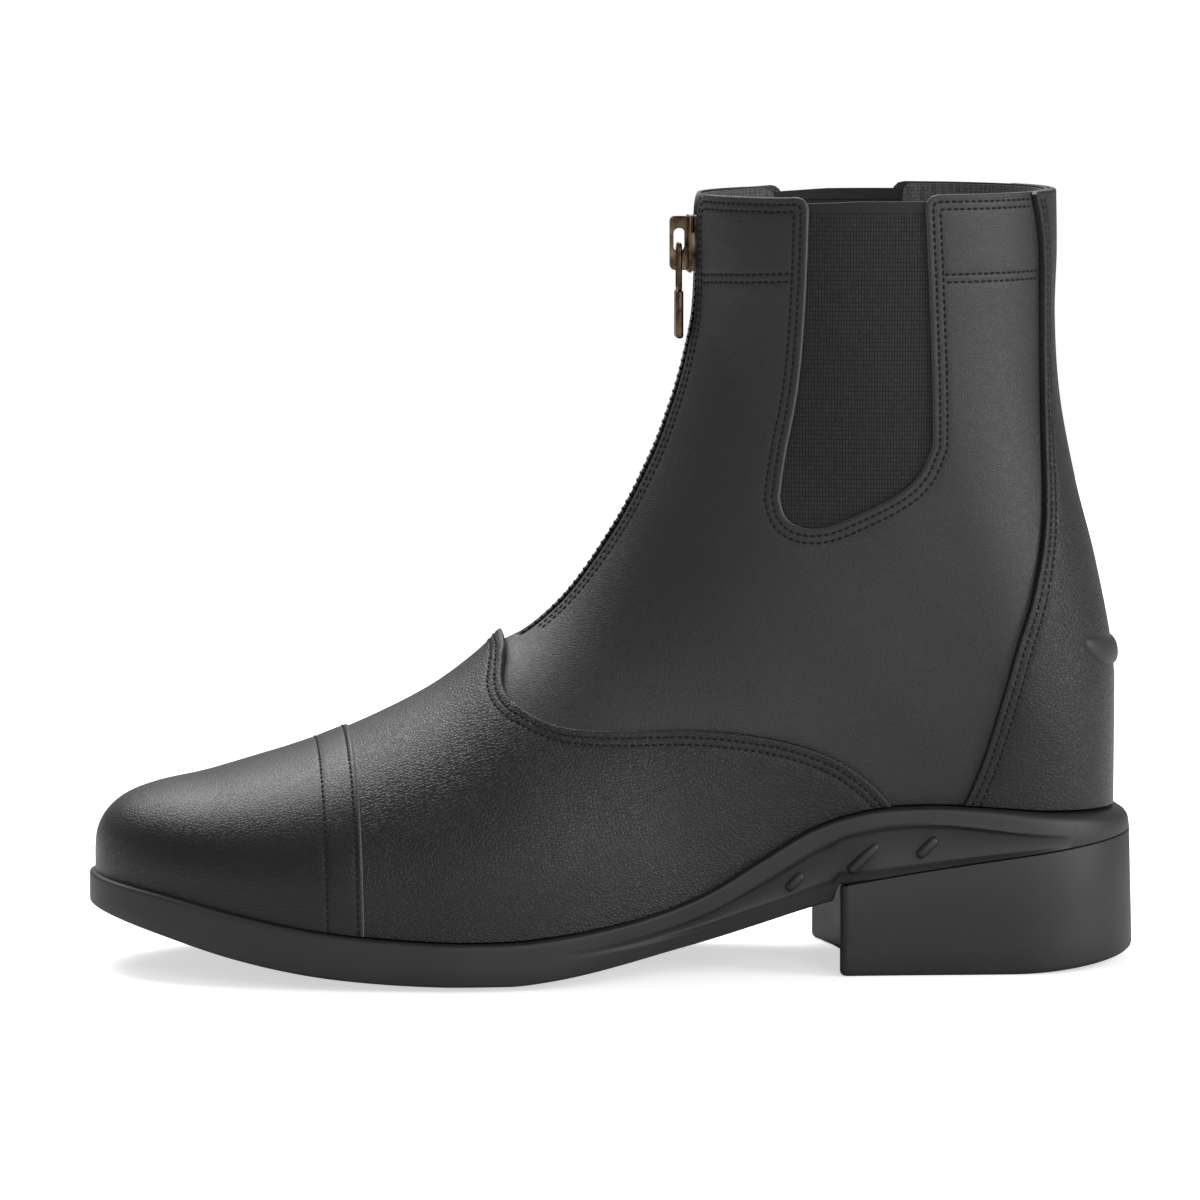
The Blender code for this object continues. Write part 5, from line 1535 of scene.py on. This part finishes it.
@dataclass
class Zip:
    """Front zip: tape, teeth, slider and pull."""

    last: Last
    finishes: Finishes
    recess: float = 1.1 * MM
    tape_width: float = 15.0 * MM
    tooth_depth: float = 1.00 * MM
    pitch: float = 2.1 * MM
    drop: float = 7.0 * MM
    height: float = 15.0 * MM
    width: float = 7.2 * MM
    thickness: float = 2.4 * MM
    bridge_reach: float = 4.6 * MM
    bridge_width: float = 2.6 * MM
    bridge_wall: float = 0.9 * MM
    bridge_slot: float = 3.0 * MM
    pin: float = 0.7 * MM
    bail_width: float = 5.8 * MM
    bail_drop: float = 12.5 * MM
    tab_width: float = 6.2 * MM
    tab_thickness: float = 2.0 * MM
    tab_length: float = 12.0 * MM

    def shin(self, low: float, high: float, step: float) -> tuple[Array, Array, Array]:
        """Even points up the shin with outward and upward directions.

        Args:
            low: Lowest height.
            high: Highest height.
            step: Distance between points.

        Returns:
            Points, outward directions and upward directions.
        """
        rows = np.linspace(9.5, self.last.top_row, 900)
        points = self.last.points(rows, np.zeros(900))
        keep = (points[:, 2] > low) & (points[:, 2] < high)
        points = points[keep]
        run = np.concatenate([[0], np.cumsum(np.linalg.norm(np.diff(points, axis=0), axis=1))])
        at = np.arange(0, run[-1], step)
        even = np.stack([np.interp(at, run, points[:, k]) for k in range(3)], 1)
        up = np.gradient(even, axis=0)
        up[:, 1] = 0
        up /= np.linalg.norm(up, axis=1, keepdims=True)
        out = np.cross(np.array([0.0, 1.0, 0.0]), up)
        out *= np.where(out[:, :1] > 0, -1, 1)
        return even, out, up

    def build(self) -> None:
        """Build every piece of the zip."""
        foot = float(self.last.ends(np.array([10.0]))[0][0, 1]) + 1.0 * MM
        self.build_tape(foot)
        self.build_teeth(foot)
        self.build_slider()
        self.build_pull()

    def build_tape(self, foot: float) -> None:
        """Build the tape behind the teeth."""
        height = self.last.sizes.boot_height - 1.5 * MM
        points, out, _ = self.shin(foot, height, 1.5 * MM)
        section = np.array([(-1, 0), (-0.12, 0), (0.12, 0), (1, 0), (1, 1), (-1, 1)], float)
        count = len(points)
        mesh = new_grid(count - 1, len(section), (0, 0), (count - 1, len(section)))
        u, v = params_of(mesh)
        i, j = np.rint(u).astype(int), np.rint(v).astype(int) % len(section)
        bulge = np.where(np.abs(section[j, 0]) < 0.5, 0.35 * MM, 0)
        depth = -self.recess - 1.0 * MM + bulge - 0.6 * MM * section[j, 1]
        place = points[i] + out[i] * depth[:, None]
        place[:, 1] += section[j, 0] * self.tape_width / 2
        place[:, 0] += 0.10 * (section[j, 0] * self.tape_width / 2) ** 2 / (8 * MM)
        move_to(mesh, place)
        bmesh.ops.remove_doubles(mesh, verts=mesh.verts, dist=1e-6)
        bmesh.ops.holes_fill(mesh, edges=mesh.edges, sides=0)
        add_piece("zip_tape_cloth", mesh, self.finishes.tape, replaced=("zip_tape",))

    def build_teeth(self, foot: float) -> None:
        """Build both rows of teeth."""
        top = self.last.sizes.boot_height - self.drop - self.height
        points, out, up = self.shin(foot, top, self.pitch / 2)
        tooth = bmesh.new()
        bmesh.ops.create_cube(tooth, size=1.0)
        bmesh.ops.scale(tooth, vec=(1.3 * MM, 3.0 * MM, 1.15 * MM), verts=tooth.verts)
        bmesh.ops.bevel(tooth, geom=list(tooth.edges), offset=0.25 * MM, segments=1, profile=0.5,
                        affect="EDGES", material=-1)
        template = bpy.data.meshes.new("tooth")
        tooth.to_mesh(template)
        tooth.free()
        mesh = bmesh.new()
        for index, (point, outward, upward) in enumerate(zip(points, out, up)):
            turn = Matrix((Vector(outward), Vector((0, 1, 0)), Vector(upward))).transposed().to_4x4()
            side = 1 if index % 2 else -1
            centre = Vector(point) - Vector(outward) * self.tooth_depth + Vector((0, side * 0.9 * MM, 0))
            move = Matrix.Translation(centre) @ turn
            template.transform(move)
            mesh.from_mesh(template)
            template.transform(move.inverted())
        bpy.data.meshes.remove(template)
        add_piece("zip_teeth", mesh, self.finishes.teeth,
                  replaced=("zip_chain",), angle=30)

    def seat(self) -> tuple[float, float]:
        """Place of the slider's back and height of its top."""
        top = self.last.sizes.boot_height - self.drop
        rows = np.linspace(12, self.last.top_row, 900)
        points = self.last.points(rows, np.zeros(900))
        x = float(np.interp(top - self.height / 2, points[:, 2], points[:, 0]))
        return x - (0.3 * MM - self.recess), top

    def pivot(self) -> Vector:
        """Place of the pull's crossbar."""
        seat, top = self.seat()
        x = seat - self.thickness - self.bridge_reach + self.bridge_wall + self.bridge_slot / 2
        return Vector((x, 0.0, top - self.height * 0.52))

    @staticmethod
    def block(mesh: bmesh.types.BMesh, low: Sequence[float], high: Sequence[float], radius: float,
              segments: int = 2) -> None:
        """Add a box with rounded edges to a bmesh."""
        centre = [(a + b) / 2 for a, b in zip(low, high)]
        made = bmesh.ops.create_cube(mesh, size=1.0)["verts"]
        bmesh.ops.scale(mesh, vec=[b - a for a, b in zip(low, high)], verts=made)
        bmesh.ops.translate(mesh, vec=centre, verts=made)
        edges = list({e for v in made for e in v.link_edges})
        bmesh.ops.bevel(mesh, geom=edges, offset=radius, segments=segments, profile=0.5,
                        affect="EDGES", material=-1)

    @staticmethod
    def bar(mesh: bmesh.types.BMesh, path: Array, section: Array, closed: bool = False) -> None:
        """Add a bar along a path in the x-z plane to a bmesh.

        Args:
            mesh: The bmesh.
            path: Points of the path.
            section: Offsets along the path's normal and across, in turn round the bar.
            closed: Whether the path is a loop.
        """
        if closed:
            ahead, behind = np.roll(path, -1, axis=0), np.roll(path, 1, axis=0)
            path = np.concatenate([path, path[:1]])
            along = np.concatenate([ahead - behind, (ahead - behind)[:1]])
        else:
            along = np.gradient(path, axis=0)
        along = along / np.linalg.norm(along, axis=1, keepdims=True)
        part = new_grid(len(path) - 1, len(section), (0, 0), (len(path) - 1, len(section)))
        u, v = params_of(part)
        i, j = np.rint(u).astype(int), np.rint(v).astype(int) % len(section)
        plane_normal = np.stack([-along[:, 2], np.zeros(len(along)), along[:, 0]], 1)
        if np.abs(path[:, 1]).max() > 1e-9 and np.ptp(path[:, 1]) > 1e-6:
            plane_normal = np.stack([np.zeros(len(along)), -along[:, 2], along[:, 1]], 1)
            side = np.array([1.0, 0.0, 0.0])
        else:
            side = np.array([0.0, 1.0, 0.0])
        place = path[i] + plane_normal[i] * section[j, :1] + side * section[j, 1:]
        move_to(part, place)
        bmesh.ops.remove_doubles(part, verts=part.verts, dist=1e-7)
        if not closed:
            bmesh.ops.holes_fill(part, edges=part.edges, sides=0)
        spare = bpy.data.meshes.new("spare")
        part.to_mesh(spare)
        part.free()
        mesh.from_mesh(spare)
        bpy.data.meshes.remove(spare)

    def build_slider(self) -> None:
        """Build the slider's body and its bridge."""
        seat, top = self.seat()
        front = seat - self.thickness
        mesh = bmesh.new()
        half = self.width / 2
        self.block(mesh, (front, -half, top - self.height), (front + 0.9 * MM, half, top), 0.35 * MM)
        self.block(mesh, (seat - 0.9 * MM, -half, top - self.height), (seat, half, top), 0.35 * MM)
        self.block(mesh, (front + 0.5 * MM, -1.2 * MM, top - 0.35 * self.height),
                   (seat - 0.5 * MM, 1.2 * MM, top - 0.1 * MM), 0.2 * MM)
        for side in (-1, 1):
            near, far = sorted((side * (half - 0.5 * MM), side * half))
            self.block(mesh, (front + 0.4 * MM, near, top - self.height * 0.97),
                       (seat - 0.4 * MM, far, top - self.height * 0.3), 0.15 * MM)
        self.add_bridge(mesh, front, top)
        add_piece("slider_body", mesh, self.finishes.brass,
                  replaced=("zip_slider",), angle=35)

    def add_bridge(self, mesh: bmesh.types.BMesh, front: float, top: float) -> None:
        """Add the slider's bridge, an upright plate with a hole for the bail.

        Args:
            mesh: The slider's bmesh.
            front: Place of the slider's front plate.
            top: Height of the slider's top.
        """
        pivot, steps, radius = self.pivot(), 6, 1.3 * MM
        high, low = top - 0.3 * MM, top - self.height * 0.96
        left, right = front - self.bridge_reach, front + 0.6 * MM
        outer = self.rounded_section((right - left) / 2, (high - low) / 2, radius, steps)
        outer += np.array([(left + right) / 2, (high + low) / 2])
        hole_low, hole_high = pivot.z - 1.7 * MM, pivot.z + 4.4 * MM
        inner = self.rounded_section(self.bridge_slot / 2, (hole_high - hole_low) / 2, 1.35 * MM, steps)
        inner += np.array([pivot.x, (hole_low + hole_high) / 2])
        half, chamfer = self.bridge_width / 2, 0.25 * MM
        # share of the way from the outer edge to the hole, chamfer towards the hole, side
        rings = ((0, chamfer, -half), (0, 0, -half + chamfer), (0, 0, half - chamfer), (0, chamfer, half),
                 (1, -chamfer, half), (1, 0, half - chamfer), (1, 0, -half + chamfer), (1, -chamfer, -half))
        part = new_grid(len(outer), len(rings), (0, 0), (len(outer), len(rings)))
        u, v = params_of(part)
        i = np.rint(u).astype(int) % len(outer)
        ring = np.array(rings)[np.rint(v).astype(int) % len(rings)]
        towards = inner - outer
        length = np.linalg.norm(towards, axis=1)
        share = ring[:, 0] + ring[:, 1] / length[i]
        flat = outer[i] + towards[i] * share[:, None]
        move_to(part, np.column_stack([flat[:, 0], ring[:, 2], flat[:, 1]]))
        bmesh.ops.remove_doubles(part, verts=part.verts, dist=1e-7)
        spare = bpy.data.meshes.new("spare")
        part.to_mesh(spare)
        part.free()
        mesh.from_mesh(spare)
        bpy.data.meshes.remove(spare)

    @staticmethod
    def rounded_section(half_a: float, half_b: float, radius: float, steps: int = 3) -> Array:
        """Rounded rectangle as offsets, in turn round it."""
        points = []
        for a, b, start in ((1, 1, 0), (-1, 1, 90), (-1, -1, 180), (1, -1, 270)):
            for step in range(steps + 1):
                angle = math.radians(start + 90 * step / steps)
                points.append((a * (half_a - radius) + radius * math.cos(angle),
                               b * (half_b - radius) + radius * math.sin(angle)))
        return np.array(points)

    def build_pull(self) -> None:
        """Build the bail and the tab, which swing from the bridge."""
        pivot = self.pivot()
        mesh = bmesh.new()
        half_y, radius = self.bail_width / 2 - self.pin * 0.5, 1.4 * MM
        top, low = 0.0, -self.bail_drop + 0.4 * MM
        loop = self.rounded_section(half_y, (top - low) / 2, radius, 6)
        path = np.stack([np.zeros(len(loop)), loop[:, 0], loop[:, 1] + (top + low) / 2], 1)
        turn = np.linspace(0, math.tau, 11)[:-1]
        section = np.stack([self.pin * 0.92 * np.cos(turn), self.pin * 0.92 * np.sin(turn)], 1)
        self.bar(mesh, path, section, closed=True)
        self.block(mesh, (-self.tab_thickness / 2, -self.tab_width / 2, -self.bail_drop - self.tab_length),
                   (self.tab_thickness / 2, self.tab_width / 2, -self.bail_drop + self.pin), 0.75 * MM, 4)
        bmesh.ops.translate(mesh, vec=pivot, verts=mesh.verts)
        add_piece("pull_tab", mesh, self.finishes.brass, Body.PULL,
                  ("zip_pull",), angle=40)


@dataclass
class SpurRest:
    """Moulded ledge at the back of the heel."""

    last: Last
    finishes: Finishes
    height: float = 82.0 * MM
    width: float = 49.0 * MM
    droop: float = 6.0 * MM
    depth: float = 2.2 * MM
    thickness: float = 7.4 * MM
    base: float = 1.1 * MM

    def build(self) -> None:
        """Build the ledge."""
        steps, corners = 60, 16
        mesh = new_grid(steps, corners, (-1, 0), (1, 1))
        share, turn = params_of(mesh)
        share = np.sin(share * math.pi / 2)
        rows = np.linspace(self.last.heel_row, self.last.top_row, 600)
        back = self.last.ends(rows)[1]
        row = np.interp(self.height - self.droop * share * share, back[:, 1], rows)
        reach = np.abs(share) * self.width / 2
        places = np.linspace(1.0, 0.5, 200)
        around = np.ones(len(row))
        for index in range(len(row)):
            y = np.abs(self.last.points(np.full(200, row[index]), places)[:, 1])
            around[index] = np.interp(reach[index], y, places)
        signed = np.where(share < 0, -around, around)
        point = self.last.points(row, signed)
        normal = self.last.normals(row, signed)
        taper = np.sqrt(np.maximum(1 - np.abs(share) ** 9, 0.02))
        rise = np.array([0, 0, 1.0]) - normal * normal[:, 2:]
        rise /= np.linalg.norm(rise, axis=1, keepdims=True)
        angle = (turn - 0.5) * math.pi
        out = self.base + self.depth * taper * np.maximum(np.cos(angle), 0) ** 0.8
        up = self.thickness / 2 * taper * np.sin(angle)
        move_to(mesh, point + normal * out[:, None] + rise * up[:, None])
        bmesh.ops.holes_fill(mesh, edges=mesh.edges, sides=0)
        add_piece("spur_ledge", mesh, self.finishes.heel, replaced=("spur_rest",))


@dataclass
class Studio:
    """Pale floor, soft lights and the camera.

    The camera sees the floor and the surroundings as plain white, but they light the boot weakly. The
    floor's glow is dimmer near the boot, a painted shadow.
    """

    distance: float = 1.85
    elevation: float = 6.3
    turn: float = 5.0
    focal_pixels: float = 7030.0
    frame_pixels: float = 1200.0
    aim_height: float = 0.0965
    aim_right: float = 13.5
    aim_down: float = -3.0
    world_strength: float = 0.35
    # glow near the boot and far from it; the dimmer near value is a painted shadow
    floor_glow_with_painted_shadow: tuple[float, float] = (0.60, 0.80)
    painted_shadow_reach: tuple[float, float] = (0.14, 0.45)
    floor_reach: float = 1.35

    def seen_value(self, tree: bpy.types.NodeTree, hidden: float, seen: float) -> bpy.types.NodeSocket:
        """Value that differs between what the camera sees and what lights the boot."""
        ray = add_node(tree, "ShaderNodeLightPath").outputs["Is Camera Ray"]
        return spread(tree, ray, hidden, seen, 0.0, 1.0)

    def build(self) -> None:
        """Build floor, lights and camera."""
        self.build_floor()
        self.build_world()
        self.build_lights()
        self.build_camera()

    def build_floor(self) -> None:
        """Build the floor, whose glow seen by the camera is dimmer near the boot, a painted shadow."""
        mesh = bmesh.new()
        bmesh.ops.create_grid(mesh, x_segments=1, y_segments=1, size=self.floor_reach)
        data = bpy.data.meshes.new("floor")
        mesh.to_mesh(data)
        mesh.free()
        floor = bpy.data.objects.new("floor", data)
        made, tree, shader = blank_material("white_studio_floor")
        shader.inputs["Base Color"].default_value = linear("#e0e0e0")
        shader.inputs["Roughness"].default_value = 0.9
        shader.inputs["Specular IOR Level"].default_value = 0.0
        shader.inputs["Emission Color"].default_value = (1, 1, 1, 1)
        place = add_node(tree, "ShaderNodeTexCoord").outputs["Object"]
        away = add_node(tree, "ShaderNodeVectorMath", {"operation": "LENGTH"}, {0: place}).outputs["Value"]
        # Painted shadow: the floor's glow to the camera is dimmer close to the boot.
        glow_with_painted_shadow = spread(tree, away, *self.floor_glow_with_painted_shadow, *self.painted_shadow_reach)
        seen = add_node(tree, "ShaderNodeMath", {"operation": "MULTIPLY"}, {
            0: glow_with_painted_shadow, 1: self.seen_value(tree, 0.0, 1.0)}).outputs["Value"]
        tree.links.new(seen, shader.inputs["Emission Strength"])
        data.materials.append(made)
        bpy.context.scene.collection.objects.link(floor)

    def build_world(self) -> None:
        """Build the white surroundings."""
        world = bpy.data.worlds.new("studio")
        world.use_nodes = True
        background = world.node_tree.nodes["Background"]
        background.inputs["Color"].default_value = (1, 1, 1, 1)
        strength = self.seen_value(world.node_tree, self.world_strength, 1.0)
        world.node_tree.links.new(strength, background.inputs["Strength"])
        bpy.context.scene.world = world
        bpy.context.scene.view_settings.view_transform = "Standard"

    def build_lights(self) -> None:
        """Build the soft boxes."""
        # name, place, target, width, height, energy
        boxes = (
            ("top_box", (-0.20, 0.70, 1.20), (0.0, 0.0, 0.05), 1.3, 0.9, 26.0),
            ("rear_box", (1.15, -0.55, 0.50), (0.05, 0.0, 0.10), 0.6, 0.9, 11.0),
            ("fill_box", (0.50, -1.60, 0.70), (0.0, 0.0, 0.12), 0.8, 0.8, 8.0),
        )
        for name, place, target, width, height, energy in boxes:
            data = bpy.data.lights.new(name, "AREA")
            data.shape = "RECTANGLE"
            data.size, data.size_y = width, height
            data.energy = energy
            light = bpy.data.objects.new(name, data)
            light.location = place
            aim = Vector(target) - Vector(place)
            light.rotation_euler = aim.to_track_quat("-Z", "Y").to_euler()
            bpy.context.scene.collection.objects.link(light)

    def build_camera(self) -> None:
        """Build the camera at the photograph's angle."""
        up_angle, side_angle = math.radians(self.elevation), math.radians(self.turn)
        view = Vector((math.sin(side_angle) * math.cos(up_angle), math.cos(side_angle) * math.cos(up_angle),
                       -math.sin(up_angle)))
        place = Vector((0, 0, self.aim_height)) - view * self.distance
        right = Vector((math.cos(side_angle), -math.sin(side_angle), 0))
        up = right.cross(view)
        aim = view - right * (self.aim_right / self.focal_pixels) + up * (self.aim_down / self.focal_pixels)
        aim.normalize()
        across = aim.cross(Vector((0, 0, 1))).normalized()
        axes = Matrix((across, across.cross(aim), -aim)).transposed().to_4x4()
        data = bpy.data.cameras.new("camera")
        data.sensor_width = 36.0
        data.lens = 36.0 * self.focal_pixels / self.frame_pixels
        data.clip_start = 0.05
        camera = bpy.data.objects.new("camera", data)
        camera.matrix_world = Matrix.Translation(place) @ axes
        bpy.context.scene.collection.objects.link(camera)
        bpy.context.scene.camera = camera


def dress_insole(finishes: Finishes) -> None:
    """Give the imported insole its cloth."""
    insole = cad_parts["insole"]
    insole.data.materials.clear()
    insole.data.materials.append(finishes.lining)


def main() -> None:
    """Build the boot's looks and its studio."""
    logging.basicConfig(level=logging.INFO, format="%(name)s: %(message)s")
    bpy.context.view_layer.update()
    finishes = Finishes()
    sole = Sole()
    last = Last(sole)
    Studio().build()
    SoleUnit(sole, finishes).build()
    Upper(last, finishes).build()
    Zip(last, finishes).build()
    SpurRest(last, finishes).build()
    dress_insole(finishes)


if __name__ == "__main__":
    main()
